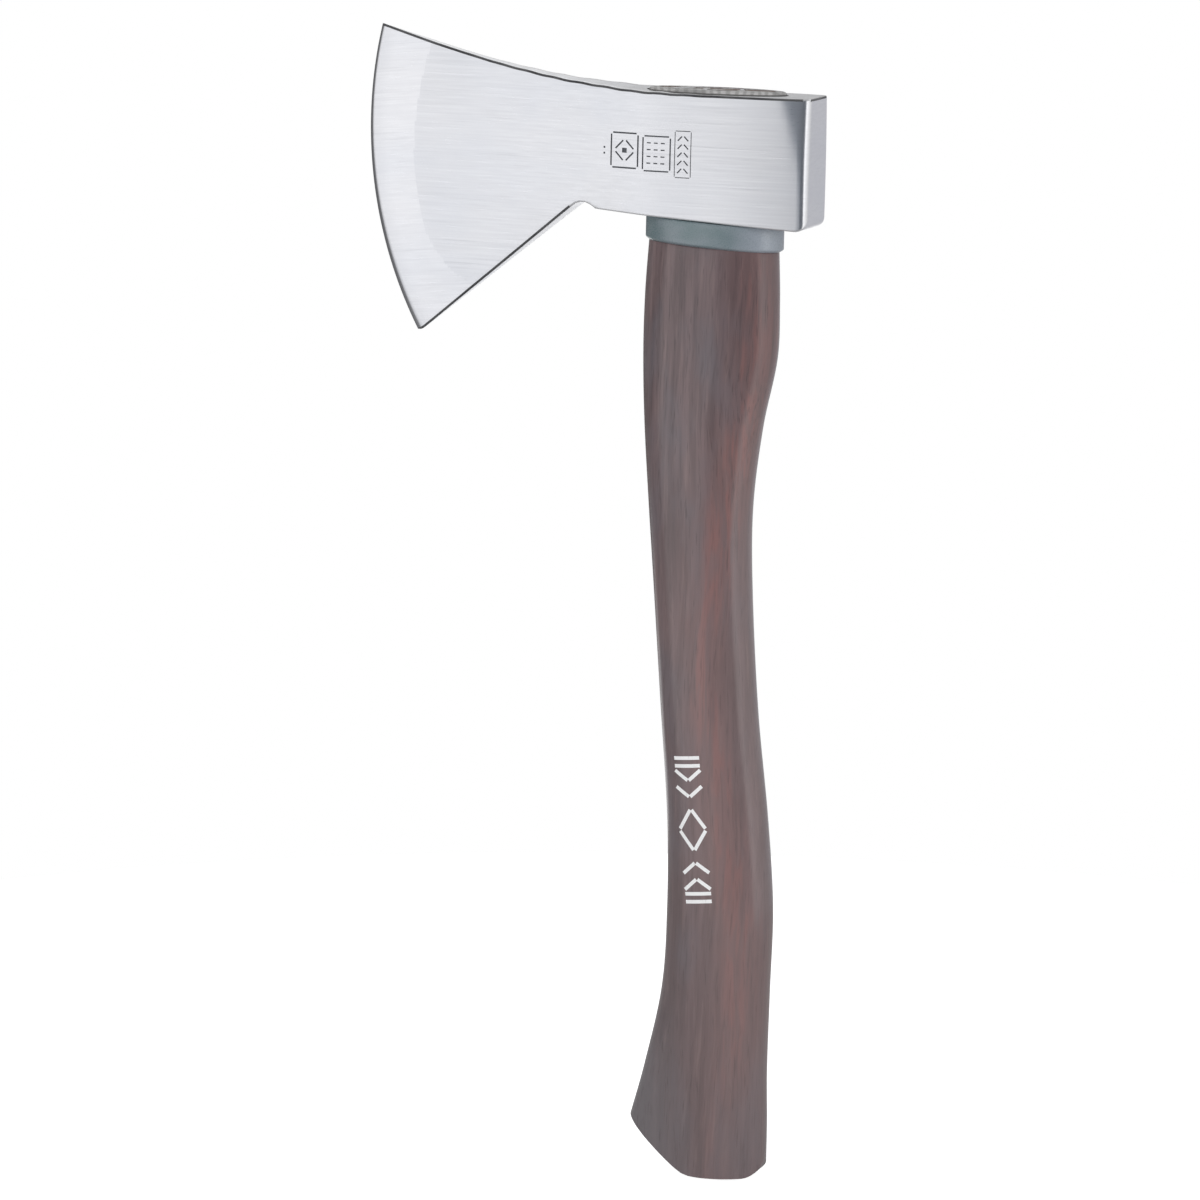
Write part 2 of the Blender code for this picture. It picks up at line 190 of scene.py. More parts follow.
SHOULDER_END_Z = 297 * MM

# Collar
COLLAR_X = (collar_low.x + collar_high.x) / 2
COLLAR_LENGTH = collar_high.x - collar_low.x
COLLAR_WIDTH = collar_high.y - collar_low.y
COLLAR_HEIGHT = 7.4 * MM
COLLAR_SEAT = 0.9 * MM
COLLAR_SEGMENTS = 128

# Wedges, sized by length, top width, bottom width and depth, and the slots cut for them
KERF_SIZE = (37 * MM, 3.6 * MM, 1.4 * MM, 30 * MM)
FLAT_WEDGE_SIZE = (12 * MM, 2.6 * MM, 1.0 * MM, 14 * MM)
FLAT_WEDGE_X = -20 * MM
FLAT_WEDGE_TURN = math.radians(62)
RING_X = -8 * MM
RING_OUTER = 13.6 * MM
RING_INNER = 10.4 * MM
RING_DEPTH = 11 * MM
RING_SEGMENTS = 64
SLOT_GAP = 0.04 * MM
SLOT_RISE = 3 * MM

# Printed mark on the grip
INK_HEIGHT = 8.8 * MM
INK_STROKE = 1.15 * MM
INK_FILM = 0.05 * MM
INK_LONG_STEPS = 14
INK_WIDE_STEPS = 4
INK_TOP = Vector((-11.5 * MM, 135.8 * MM))
INK_BOTTOM = Vector((-6.0 * MM, 89.5 * MM))

# Painted dark reflection along the cutting edge, over a reach that narrows from the heel to the toe, with
# a fainter painted shade behind it
EDGE_REFLECTION_ZONE_Z = (268 * MM, 345 * MM)
EDGE_REFLECTION_REACH = (2.6 * MM, 1.3 * MM)
HAZE_SHADE_ZONE = (1 * MM, 7 * MM)

# The top of the head turns duller from the toe to the eye
DULL_ZONE_X = (-60 * MM, -14 * MM)

# Where the wood changes colour or carries painted light and shade, as (start, end) along its height Z or
# its depth X
FOOT_ZONE_Z = (18 * MM, 60 * MM)
NECK_ZONE_Z = (268 * MM, 298 * MM)
# painted cool reflection over the front of the lower grip
COOL_REFLECTION_ZONE_Z = (25 * MM, 110 * MM)
COOL_REFLECTION_ZONE_X = (-22 * MM, 4 * MM)
COOL_REFLECTION_LEAN = 0.20
# lighter towards the bottom of the grip, and painted light towards its back
PALER_LOW_ZONE_Z = (150 * MM, 290 * MM)
LIT_BACK_ZONE_X = (-12 * MM, 8 * MM)
SHADED_ZONE_Z = (225 * MM, 285 * MM)
SHADED_ZONE_X = (-22 * MM, 0.0)

# The reddish vein swings slowly from side to side as it climbs the handle
VEIN_X = 0.8 * MM
VEIN_SWING = 7 * MM
VEIN_CREST_Z = 172 * MM
VEIN_LENGTH = 215 * MM
VEIN_WANDER = 10 * MM
VEIN_CORE = (1 * MM, 8 * MM)
VEIN_BLUSH = (2 * MM, 15 * MM)
GRAIN_WARP = 7 * MM

# End grain of the tenon, and a dark band of painted shadow low on its side
GROWTH_RING = 2.6 * MM
RING_WARP = 5 * MM
RING_LEAN = 0.35
STAIN_ZONE_X = (-28 * MM, -8 * MM)
TENON_SHADOW_ZONE_Z = (TENON_TOP_Z - 0.55 * MM, TENON_TOP_Z - 1.1 * MM)

# Painted highlight: the collar is paler towards its back, where the light from the right catches it
COLLAR_HIGHLIGHT_ZONE_X = (-4 * MM, 8 * MM)

# Camera
CAMERA_LENS = 180.0
CAMERA_SENSOR = 36.0
CAMERA_DISTANCE = 1.8957
CAMERA_AZIMUTH = math.radians(17.8)
CAMERA_ELEVATION = math.radians(9.3)
CAMERA_ROLL = math.radians(1.3)
CAMERA_AIM_OFFSET = Vector((6.1, 0, 1.5)) * MM


# ---- small tools

def mix(a, b, t):
    return a + (b - a) * t


def clamp(value, low=0.0, high=1.0):
    return min(max(value, low), high)


def soft_min(a, b, softness):
    return 0.5 * (a + b - math.sqrt((a - b) ** 2 + softness**2))


def soft_max(a, b, softness):
    return 0.5 * (a + b + math.sqrt((a - b) ** 2 + softness**2))


def spread(start, end, count):
    """count values from start to end, both included."""
    return [mix(start, end, i / (count - 1)) for i in range(count)]


def turns_of(count):
    """Angles of count even steps, once round."""
    return [2 * math.pi * i / count for i in range(count)]


def ring_faces(rings):
    """Quads between rings of point numbers."""
    faces = []
    for one, two in zip(rings, rings[1:]):
        for i in range(len(one)):
            j = (i + 1) % len(one)
            faces.append((one[i], one[j], two[j], two[i]))
    return faces


def band_faces(rings, count, closed=False):
    """Quads between rings of count points each. When closed, the last ring joins the first."""
    numbers = [range(ring * count, (ring + 1) * count) for ring in range(rings)]
    return ring_faces(numbers + numbers[:1] if closed else numbers)


def grid_faces(grid):
    """Quads over a grid of point numbers, given as columns."""
    faces = []
    for left, right in zip(grid, grid[1:]):
        for j in range(len(left) - 1):
            faces.append((left[j], right[j], right[j + 1], left[j + 1]))
    return faces


def grid_border(grid):
    """The outline of a grid of point numbers, once round."""
    bottom = [column[0] for column in grid]
    top = [column[-1] for column in reversed(grid[:-1])]
    return bottom + grid[-1][1:] + top + grid[0][-2:0:-1]


def add_object(name, data):
    obj = bpy.data.objects.new(name, data)
    bpy.context.scene.collection.objects.link(obj)
    return obj


def bmesh_object(name, bm):
    mesh = bpy.data.meshes.new(name)
    bm.to_mesh(mesh)
    bm.free()
    return add_object(name, mesh)


def mesh_object(name, verts, faces):
    """An object from points and faces, with all faces turned outwards."""
    mesh = bpy.data.meshes.new(name)
    mesh.from_pydata([tuple(v) for v in verts], [], faces)
    bm = bmesh.new()
    bm.from_mesh(mesh)
    bmesh.ops.remove_doubles(bm, verts=bm.verts, dist=1e-7)
    bmesh.ops.recalc_face_normals(bm, faces=bm.faces)
    bm.to_mesh(mesh)
    bm.free()
    return add_object(name, mesh)


def shade(obj, angle=35):
    obj.data.shade_smooth()
    obj.data.set_sharp_from_angle(angle=math.radians(angle))


def cut(obj, cutter):
    """Subtracts the cutter for good, and removes it."""
    modifier = obj.modifiers.new("cut", "BOOLEAN")
    modifier.object = cutter
    modifier.operation = "DIFFERENCE"
    modifier.solver = "EXACT"
    modifier.material_mode = "TRANSFER"
    bpy.context.view_layer.update()
    evaluated = obj.evaluated_get(bpy.context.evaluated_depsgraph_get())
    mesh = bpy.data.meshes.new_from_object(evaluated)
    obj.modifiers.clear()
    old = obj.data
    obj.data = mesh
    mesh.name = obj.name
    bpy.data.meshes.remove(old)
    bpy.data.objects.remove(cutter)


def place(obj, slot, *nodes):
    """The piece rides on the hatchet and stands for the nodes. The slot is not used."""
    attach(obj, ROOT)
    if nodes:
        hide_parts(*nodes)
    return obj


# ---- node helpers

class Nodes:
    """Short names for building a node tree. A value is a number, a colour or a socket."""

    def __init__(self, tree):
        self.tree = tree

    def add(self, kind, **settings):
        node = self.tree.nodes.new(kind)
        for key, value in settings.items():
            setattr(node, key, value)
        return node

    def link(self, source, target):
        self.tree.links.new(source, target)

    def give(self, value, target):
        if isinstance(value, bpy.types.NodeSocket):
            self.link(value, target)
        else:
            target.default_value = value

    def fill(self, node, values):
        """Gives the node's named inputs their values."""
        for name, value in values.items():
            self.give(value, node.inputs[name])

    def math(self, operation, a, b=0.0):
        node = self.add("ShaderNodeMath", operation=operation)
        self.give(a, node.inputs[0])
        self.give(b, node.inputs[1])
        return node.outputs[0]

    def plus(self, a, b):
        return self.math("ADD", a, b)

    def minus(self, a, b):
        return self.math("SUBTRACT", a, b)

    def times(self, a, b):
        return self.math("MULTIPLY", a, b)

    def split(self, vector):
        """The vector's X, Y and Z."""
        node = self.add("ShaderNodeSeparateXYZ")
        self.link(vector, node.inputs[0])
        return node.outputs

    def join(self, x=0.0, y=0.0, z=0.0):
        node = self.add("ShaderNodeCombineXYZ")
        self.fill(node, {"X": x, "Y": y, "Z": z})
        return node.outputs[0]

    def mapping(self, vector, scale, rotation=(0, 0, 0)):
        node = self.add("ShaderNodeMapping")
        self.fill(node, {"Vector": vector, "Rotation": rotation, "Scale": scale})
        return node.outputs[0]

    def noise(self, vector, scale, detail=2.0, roughness=0.5):
        node = self.add("ShaderNodeTexNoise")
        settings = {"Scale": scale, "Detail": detail, "Roughness": roughness}
        self.fill(node, {"Vector": vector, **settings})
        return node.outputs["Fac"]

    def grain(self, vector, scale, detail=3.0, roughness=0.5):
        """Noise drawn out by a scale of its own along each axis."""
        return self.noise(self.mapping(vector, scale), 1.0, detail, roughness)

    def remap(self, value, low, high, to_low=0.0, to_high=1.0):
        node = self.add("ShaderNodeMapRange", interpolation_type="SMOOTHSTEP")
        limits = {"From Min": low, "From Max": high, "To Min": to_low, "To Max": to_high}
        self.fill(node, {"Value": value, **limits})
        return node.outputs["Result"]

    def ramp(self, value, stops):
        node = self.add("ShaderNodeValToRGB")
        elements = node.color_ramp.elements
        while len(elements) < len(stops):
            elements.new(0.5)
        for element, (position, colour) in zip(elements, stops):
            element.position = position
            element.color = (*colour, 1.0)
        self.give(value, node.inputs["Fac"])
        return node.outputs["Color"]

    def blend(self, factor, a, b):
        node = self.add("ShaderNodeMix", data_type="RGBA")
        colours = [(*c, 1.0) if isinstance(c, tuple) else c for c in (a, b)]
        self.fill(node, {"Factor": factor, "A": colours[0], "B": colours[1]})
        return node.outputs["Result"]

    def bump(self, height, distance, strength, normal=None):
        node = self.add("ShaderNodeBump")
        self.fill(node, {"Height": height, "Distance": distance, "Strength": strength})
        if normal is not None:
            self.link(normal, node.inputs["Normal"])
        return node.outputs[0]


def new_material(name):
    """The material, its nodes, its shader and the object's own coordinates."""
    material = bpy.data.materials.new(name)
    material.use_nodes = True
    nodes = Nodes(material.node_tree)
    shader = material.node_tree.nodes["Principled BSDF"]
    return material, nodes, shader, nodes.add("ShaderNodeTexCoord").outputs["Object"]


# ---- materials

def ground_steel(name, light, dark, line_turn=0.0, finish=None):
    """Ground and lacquered steel: fine lines along one direction, a few of them deeper."""
    material, nodes, shader, at = new_material(name)
    lined = nodes.mapping(at, (1, 1, 1), (0, line_turn, 0))
    fine = nodes.grain(lined, (45, 900, 5200), 3.0, 0.65)
    broad = nodes.grain(lined, (16, 200, 1500), 3.0, 0.6)
    long_lines = nodes.grain(lined, (30, 120, 2600), 1.0)
    cloud = nodes.grain(at, (26, 26, 34))
    scratch = nodes.remap(long_lines, 0.64, 0.76)

    tone = nodes.blend(nodes.remap(broad, 0.25, 0.75), dark, light)
    tone = nodes.blend(nodes.remap(fine, 0.3, 0.7, 0.0, 0.45), tone, dark)
    tone = nodes.blend(nodes.remap(cloud, 0.35, 0.75, 0.0, 0.3), tone, (0.70, 0.73, 0.79))
    tone = nodes.blend(nodes.times(scratch, 0.09), tone, (0.45, 0.47, 0.51))
    if finish:
        tone = finish(nodes, at, tone)
    roughness = nodes.remap(fine, 0.25, 0.75, 0.27, 0.37)
    lines = nodes.bump(fine, 0.003 * MM, 0.5)
    nodes.fill(shader, {
        "Base Color": tone,
        "Metallic": 1.0,
        "Roughness": nodes.plus(roughness, nodes.times(scratch, 0.06)),
        "Anisotropic": 0.75,
        "Tangent": nodes.join(math.sin(line_turn), 0.0, math.cos(line_turn)),
        "Normal": nodes.bump(broad, 0.006 * MM, 0.4, lines),
    })
    return material


def painted_edge_reflection(nodes, at, tone):
    """Painted dark reflection: the steel darkens over the last millimetre or two before the cutting edge.
    """
    x, _, z = nodes.split(at)
    length = nodes.add("ShaderNodeVectorMath", operation="LENGTH")
    from_centre = nodes.join(nodes.minus(x, EDGE_CENTRE.x), nodes.minus(z, EDGE_CENTRE.y))
    nodes.link(from_centre, length.inputs[0])
    back = nodes.minus(EDGE_RADIUS, length.outputs["Value"])
    reach = nodes.remap(z, *EDGE_REFLECTION_ZONE_Z, *EDGE_REFLECTION_REACH)
    # painted dark reflection right at the edge, and a fainter painted shade further back
    edge_reflection_dark = nodes.remap(nodes.math("DIVIDE", back, reach), 0.1, 1.0, 0.72, 0.0)
    haze_shade = nodes.remap(back, *HAZE_SHADE_ZONE, 0.16, 0.0)
    tone = nodes.blend(haze_shade, tone, (0.45, 0.46, 0.49))
    return nodes.blend(edge_reflection_dark, tone, (0.13, 0.135, 0.15))


def dull_tone(nodes, at, tone):
    """The top is ground more coarsely round the eye and at the poll, and looks greyer there."""
    dullness = nodes.remap(nodes.split(at)["X"], *DULL_ZONE_X, 0.0, 0.68)
    return nodes.blend(dullness, tone, (0.30, 0.30, 0.31))


def forged_and_shaded_rim_steel():
    """The narrow sides of the blade: darker, partly a forged finish and partly painted dark reflection,
    with a little forging texture left.
    """
    material, nodes, shader, at = new_material("forged_and_shaded_rim_steel")
    pits = nodes.noise(at, 900, 4.0, 0.6)
    patches = nodes.remap(nodes.noise(at, 120, 3.0), 0.35, 0.65)
    nodes.fill(shader, {
        "Base Color": nodes.blend(patches, (0.10, 0.10, 0.105), (0.17, 0.17, 0.175)),
        "Metallic": 0.9,
        "Roughness": nodes.remap(pits, 0.3, 0.7, 0.4, 0.6),
        "Normal": nodes.bump(pits, 0.03 * MM, 0.7),
    })
    return material


def groove_paint():
    """Dark residue in the bottom of the stamped marks."""
    material, nodes, shader, at = new_material("stamp_dark")
    tone = nodes.blend(nodes.noise(at, 1500), (0.05, 0.055, 0.065), (0.14, 0.145, 0.16))
    nodes.fill(shader, {"Base Color": tone, "Metallic": 0.3, "Roughness": 0.6})
    return material


def vein_factors(nodes, x, height, wander, texture):
    """How red the wood is in the vein itself, and how much it blushes beside it."""
    phase = nodes.times(nodes.minus(height, VEIN_CREST_Z), 2 * math.pi / VEIN_LENGTH)
    centre = nodes.plus(nodes.times(nodes.math("COSINE", phase), -VEIN_SWING), VEIN_X)
    centre = nodes.plus(centre, nodes.times(nodes.minus(wander, 0.5), VEIN_WANDER))
    gap = nodes.math("ABSOLUTE", nodes.minus(x, centre))
    foot_fade = nodes.remap(height, *FOOT_ZONE_Z, 0.25, 1.0)
    blush = nodes.times(nodes.remap(gap, *VEIN_BLUSH, 1.0, 0.0), foot_fade)
    redness = nodes.times(nodes.remap(gap, *VEIN_CORE, 1.0, 0.0), foot_fade)
    redness = nodes.times(redness, nodes.remap(height, *NECK_ZONE_Z, 1.0, 0.45))
    return nodes.times(redness, texture), blush


def stained_hickory():
    """Dark stained hickory: fine grain, short open pores, a wandering reddish vein, satin lacquer."""
    material, nodes, shader, at = new_material("stained_hickory")
    x, _, height = nodes.split(at)
    warp = nodes.minus(nodes.grain(at, (30, 30, 14)), 0.5)
    shifted = nodes.add("ShaderNodeVectorMath", operation="ADD")
    nodes.link(at, shifted.inputs[0])
    nodes.link(nodes.join(nodes.times(warp, GRAIN_WARP)), shifted.inputs[1])
    grain_at = shifted.outputs[0]

    fibres = nodes.grain(grain_at, (1300, 1300, 60), 3.0, 0.6)
    streaks = nodes.grain(grain_at, (620, 620, 34), 3.0, 0.6)
    bands = nodes.grain(grain_at, (190, 190, 13), 3.0, 0.6)
    patches = nodes.grain(at, (70, 70, 26), 3.0, 0.55)
    flecks = nodes.grain(grain_at, (430, 430, 62), 2.0)
    pores = nodes.remap(nodes.grain(grain_at, (1500, 1500, 110), 2.0), 0.58, 0.75)

    tone = nodes.blend(nodes.remap(bands, 0.32, 0.68), (0.100, 0.070, 0.073), (0.156, 0.110, 0.114))
    tone = nodes.blend(nodes.remap(streaks, 0.50, 0.75, 0.0, 0.5), tone, (0.235, 0.168, 0.164))
    tone = nodes.blend(nodes.remap(streaks, 0.48, 0.26, 0.0, 0.5), tone, (0.058, 0.043, 0.047))
    tone = nodes.blend(nodes.remap(patches, 0.45, 0.70, 0.0, 0.6), tone, (0.126, 0.114, 0.130))

    mottle = nodes.remap(nodes.plus(bands, nodes.times(streaks, 1.3)), 0.85, 1.28)
    mottle = nodes.times(mottle, nodes.remap(flecks, 0.40, 0.58, 0.3, 1.0))
    redness, blush = vein_factors(nodes, x, height, patches, mottle)
    tone = nodes.blend(nodes.times(blush, 0.4), tone, (0.188, 0.108, 0.104))
    tone = nodes.blend(nodes.times(redness, 0.7), tone, (0.236, 0.105, 0.096))

    # Painted reflection: a cool bluish sheen over the front of the lower grip.
    front = nodes.plus(x, nodes.times(height, COOL_REFLECTION_LEAN))
    cool_reflection = nodes.times(
        nodes.remap(front, *COOL_REFLECTION_ZONE_X, 0.7, 0.0), nodes.remap(height, *COOL_REFLECTION_ZONE_Z, 1.0, 0.3))
    tone = nodes.blend(cool_reflection, tone, (0.134, 0.140, 0.154))
    tone = nodes.blend(nodes.remap(fibres, 0.48, 0.28, 0.0, 0.35), tone, (0.058, 0.044, 0.046))
    tone = nodes.blend(nodes.times(pores, 0.4), tone, (0.036, 0.027, 0.029))
    # Lighter towards the bottom of the grip, and painted light towards its back, where the side light
    # falls.
    wear_and_painted_light = nodes.times(
        nodes.remap(height, *PALER_LOW_ZONE_Z, 0.28, 0.0), nodes.remap(x, *LIT_BACK_ZONE_X, 0.6, 1.0))
    tone = nodes.blend(wear_and_painted_light, tone, (0.26, 0.20, 0.20))
    shaded = nodes.times(
        nodes.remap(height, *SHADED_ZONE_Z, 0.0, 0.26), nodes.remap(x, *SHADED_ZONE_X))
    tone = nodes.blend(shaded, tone, (0.062, 0.044, 0.050))

    surface = nodes.bump(fibres, 0.04 * MM, 0.5)
    nodes.fill(shader, {
        "Base Color": tone,
        "Roughness": nodes.remap(streaks, 0.3, 0.7, 0.5, 0.65),
        "Specular IOR Level": 0.25,
        "Coat Weight": 0.85,
        "Coat Roughness": 0.14,
        "Normal": nodes.bump(pores, -0.05 * MM, 0.5, surface),
    })
    return material


def end_grain():
    """The handle's end in the eye, sanded and sealed: growth rings across it and open pores."""
    material, nodes, shader, at = new_material("end_grain")
    x, y, z = nodes.split(at)
    warp = nodes.grain(at, (60, 60, 60), 2.0)
    ring = nodes.plus(nodes.plus(x, nodes.times(warp, RING_WARP)), nodes.times(y, RING_LEAN))
    ring = nodes.math("SINE", nodes.times(ring, 2 * math.pi / GROWTH_RING))
    pores = nodes.noise(at, 3200, 1.0)
    stains = nodes.remap(nodes.grain(at, (70, 260, 60), 3.0, 0.6), 0.45, 0.62, 0.0, 0.6)
    stains = nodes.times(stains, nodes.remap(x, *STAIN_ZONE_X, 0.35, 1.0))
    tone = nodes.blend(nodes.remap(ring, -0.6, 0.9), (0.56, 0.555, 0.55), (0.38, 0.375, 0.37))
    tone = nodes.blend(nodes.remap(pores, 0.60, 0.70, 0.0, 0.35), tone, (0.12, 0.11, 0.11))
    tone = nodes.blend(stains, tone, (0.15, 0.148, 0.147))
    # painted shadow low on the tenon's side, where it stands out of the head
    tone = nodes.blend(nodes.remap(z, *TENON_SHADOW_ZONE_Z), tone, (0.10, 0.098, 0.096))
    normal = nodes.bump(pores, -0.04 * MM, 0.5)
    nodes.fill(shader, {"Base Color": tone, "Roughness": 0.5, "Normal": normal})
    return material


def collar_plastic():
    """Moulded slate-grey plastic with a satin surface."""
    material, nodes, shader, at = new_material("collar_plastic")
    cloud = nodes.remap(nodes.grain(at, (90, 90, 160)), 0.3, 0.7)
    grit = nodes.noise(at, 2200, 3.0, 0.6)
    # painted highlight towards the collar's back
    collar_highlight = nodes.remap(nodes.split(at)["X"], *COLLAR_HIGHLIGHT_ZONE_X, 0.0, 0.8)
    tone = nodes.blend(cloud, (0.120, 0.168, 0.180), (0.170, 0.206, 0.230))
    tone = nodes.blend(nodes.remap(grit, 0.5, 0.8, 0.0, 0.12), tone, (0.07, 0.085, 0.095))
    nodes.fill(shader, {
        "Base Color": nodes.blend(collar_highlight, tone, (0.285, 0.315, 0.362)),
        "Roughness": nodes.remap(grit, 0.3, 0.7, 0.25, 0.32),
        "Specular IOR Level": 0.85,
        "Normal": nodes.bump(grit, 0.01 * MM, 0.25),
    })
    return material


def wedge_beech():
    """Plain beech, sawn and left raw."""
    material, nodes, shader, at = new_material("wedge_beech")
    rings = nodes.grain(at, (260, 900, 30))
    flecks = nodes.grain(at, (2600, 900, 120), 2.0)
    tone = nodes.blend(nodes.remap(rings, 0.3, 0.7), (0.20, 0.15, 0.11), (0.33, 0.25, 0.18))
    tone = nodes.blend(nodes.remap(flecks, 0.6, 0.75, 0.0, 0.6), tone, (0.12, 0.085, 0.06))
    normal = nodes.bump(rings, 0.06 * MM, 0.5)
    nodes.fill(shader, {"Base Color": tone, "Roughness": 0.6, "Normal": normal})
    return material


def wedge_steel():
    """Sanded over with the handle's end, so the scratches run across the head."""
    material, nodes, shader, at = new_material("wedge_steel")
    sanding = nodes.grain(at, (2600, 40, 900))
    stains = nodes.remap(nodes.noise(at, 350, 3.0), 0.55, 0.75, 0.0, 0.5)
    tone = nodes.blend(nodes.remap(sanding, 0.3, 0.7), (0.36, 0.36, 0.365), (0.52, 0.52, 0.53))
    nodes.fill(shader, {
        "Base Color": nodes.blend(stains, tone, (0.22, 0.20, 0.19)),
        "Metallic": 1.0,
        "Roughness": nodes.remap(sanding, 0.3, 0.7, 0.35, 0.5),
        "Normal": nodes.bump(sanding, 0.01 * MM, 0.6),
    })
    return material


def white_ink():
    """White printing ink, a little rubbed away along the grain."""
    material, nodes, shader, at = new_material("white_ink")
    wear = nodes.grain(at, (900, 900, 160))
    wear_and_painted_light = nodes.remap(wear, 0.60, 0.78, 0.0, 0.45)
    tone = nodes.blend(wear_and_painted_light, (0.86, 0.86, 0.87), (0.45, 0.41, 0.42))
    normal = nodes.bump(wear, 0.02 * MM, 0.4)
    nodes.fill(shader, {"Base Color": tone, "Roughness": 0.45, "Normal": normal})
    return material


# ---- head

def rounding(distance, radius):
    """How far a face has dropped at this distance from an edge rounded to radius."""
    inside = clamp(radius - distance, 0, radius)
    return radius - math.sqrt(radius**2 - inside**2)


def top_wave(x):
    """The slight unevenness of the top at x."""
    fade_in = clamp((x - TOP_WAVE_FRONT_X) / TOP_WAVE_FRONT_FADE)
    fade_out = clamp((TOP_WAVE_BACK_X - x) / TOP_WAVE_BACK_FADE)
    wave = math.sin(x / TOP_WAVE_SHORT) + 0.5 * math.sin(x / TOP_WAVE_LONG + 1.0)
    return TOP_WAVE * fade_in * fade_out * wave


def top_z(x):
    """Upper outline: level over the eye, then rising to the toe."""
    run = max(TOE_RISE_START_X - x, 0) / TOE_RISE_LENGTH
    rise = TOE_RISE * run**TOE_RISE_POWER - TOE_DIP * math.sin(math.pi * run) ** 2
    return TOP_Z + rise + top_wave(x) - rounding(POLL_X - x, POLL_TOP_RADIUS)


def bottom_z(x):
    """Lower outline: blunt heel, slanted edge, a small relief in the notch, then the underside."""
    slant = NOTCH.y + (x - NOTCH.x) * (NOTCH.y - HEEL.y) / (NOTCH.x - HEEL.x)
    slant = soft_max(slant, HEEL_FLOOR_Z, HEEL_SOFTNESS)
    under = POLL_BOTTOM_Z + (x - POLL_X) * UNDERSIDE_SLOPE
    relief_end = NOTCH_RELIEF_X + NOTCH_RELIEF_RADIUS
    relief = NOTCH_CREST_Z - rounding(relief_end - x, NOTCH_RELIEF_RADIUS)
    under = soft_max(under, relief, RELIEF_SOFTNESS)
    return soft_min(slant, under, NOTCH_SOFTNESS) + rounding(POLL_X - x, POLL_BOTTOM_RADIUS)


def slope_length(line, x):
    """How much longer than its run the outline is at x."""
    step = 0.2 * MM
    x = min(x, POLL_X - POLL_BOTTOM_RADIUS - step)
    slope = (line(x + step) - line(x - step)) / (2 * step)
    return math.sqrt(1 + slope**2)


def rim_distances(x, z):
    """How far a point of the cheek is from the upper and the lower outline."""
    to_top = (top_z(x) - z) / slope_length(top_z, x)
    to_bottom = (z - bottom_z(x)) / slope_length(bottom_z, x)
    return to_top, to_bottom


def body_half(x, z):
    """Half thickness of the head without its bevels. The blade is a little crowned in height."""
    share = clamp((x - BLADE_X) / (CHEEK_FRONT_X - BLADE_X), 0, 1.6)
    wedge = BLADE_HALF + (CHEEK_HALF - BLADE_HALF) * (0.34 * share + 0.66 * share**2.6)
    half = min(soft_min(wedge, CHEEK_HALF, 1.6 * MM) + 0.05 * MM, CHEEK_HALF)
    middle = (top_z(x) + bottom_z(x)) / 2
    reach = clamp((z - middle) / (top_z(x) - middle), -1, 1)
    crowned = clamp(share / 0.25) * clamp((1 - share) / 0.3)
    return half - mix(CHEEK_CROWN, BLADE_CROWN, crowned) * reach**2


def micro_width(share):
    """Width of the honed micro-bevel, from the heel (0) to the toe (1)."""
    return MICRO_BEVEL_TOE + MICRO_BEVEL_HEEL_EXTRA * (1 - share) ** 1.2


def around_edge(x, z):
    """Distance back from the cutting edge, and the turn of the arc there."""
    turn = math.atan2(z - EDGE_CENTRE.y, EDGE_CENTRE.x - x)
    return max(EDGE_RADIUS - math.hypot(x - EDGE_CENTRE.x, z - EDGE_CENTRE.y), 0), turn


def edge_point(radius, turn):
    """The point on the arc of this radius about the edge's centre, as (x, z)."""
    return EDGE_CENTRE.x - radius * math.cos(turn), EDGE_CENTRE.y + radius * math.sin(turn)


def bevel_width(turn):
    """The ground bevel is widest at the heel, narrowest below the middle."""
    degrees = math.degrees(turn)
    to_toe = 0.17 * soft_max(degrees + 7, 0, 2)
    to_heel = 0.05 * max(-13.5 - degrees, 0) ** 2
    return (14.6 + to_toe + to_heel) * MM


def bevelled_half(x, z, share):
    """Half thickness in front of the cheeks: honed edge, bevel, then the blade's body."""
    body = body_half(x, z)
    back, turn = around_edge(x, z)
    if back > BEVEL_ZONE:
        return body
    micro = micro_width(share)
    width = bevel_width(turn)
    honed_half = EDGE_HALF + MICRO_BEVEL_SLOPE * micro
    inner_half = body_half(*edge_point(EDGE_RADIUS - width, turn))
    bevel = honed_half + (inner_half - honed_half) / (width - micro) * (back - micro)
    return min(EDGE_HALF + MICRO_BEVEL_SLOPE * back, soft_min(bevel, body, 0.04 * MM))


def on_bevel(x, z):
    back, turn = around_edge(x, z)
    return back < BEVEL_ZONE and back < bevel_width(turn)


def poll_taper(x, z):
    """How far the cheeks draw in: slowly all along, then more sharply near the poll's upper corner."""
    height = clamp((z - POLL_BOTTOM_Z) / (TOP_Z - POLL_BOTTOM_Z))
    slow = POLL_TAPER * clamp((x - CHEEK_BACK_X) / (POLL_X - CHEEK_BACK_X)) ** 2
    start = POLL_X - POLL_RELIEF_LENGTH * height**2 - 1 * MM
    return slow + POLL_RELIEF_SLOPE * soft_max(x - start, 0, 1.2 * MM)


def half_thickness(x, z, share):
    half = bevelled_half(x, z, share) - poll_taper(x, z)
    rim = min(RIM_RADIUS, 0.7 * half)
    to_top, to_bottom = rim_distances(x, z)
    half -= rounding(to_top, rim) + rounding(to_bottom, rim)
    return half - rounding(POLL_X - x, POLL_CORNER_RADIUS)


def arc_crossing(radius, line, above):
    """Where the circle of this radius about the edge's centre crosses an outline."""
    low, high = (0.0, math.radians(50)) if above else (math.radians(-50), 0.0)
    for _ in range(40):
        middle = (low + high) / 2
        x, z = edge_point(radius, middle)
        if z < line(x):
            low = middle
        else:
            high = middle
    return (low + high) / 2


def arc_ends(radius):
    return arc_crossing(radius, bottom_z, False), arc_crossing(radius, top_z, True)


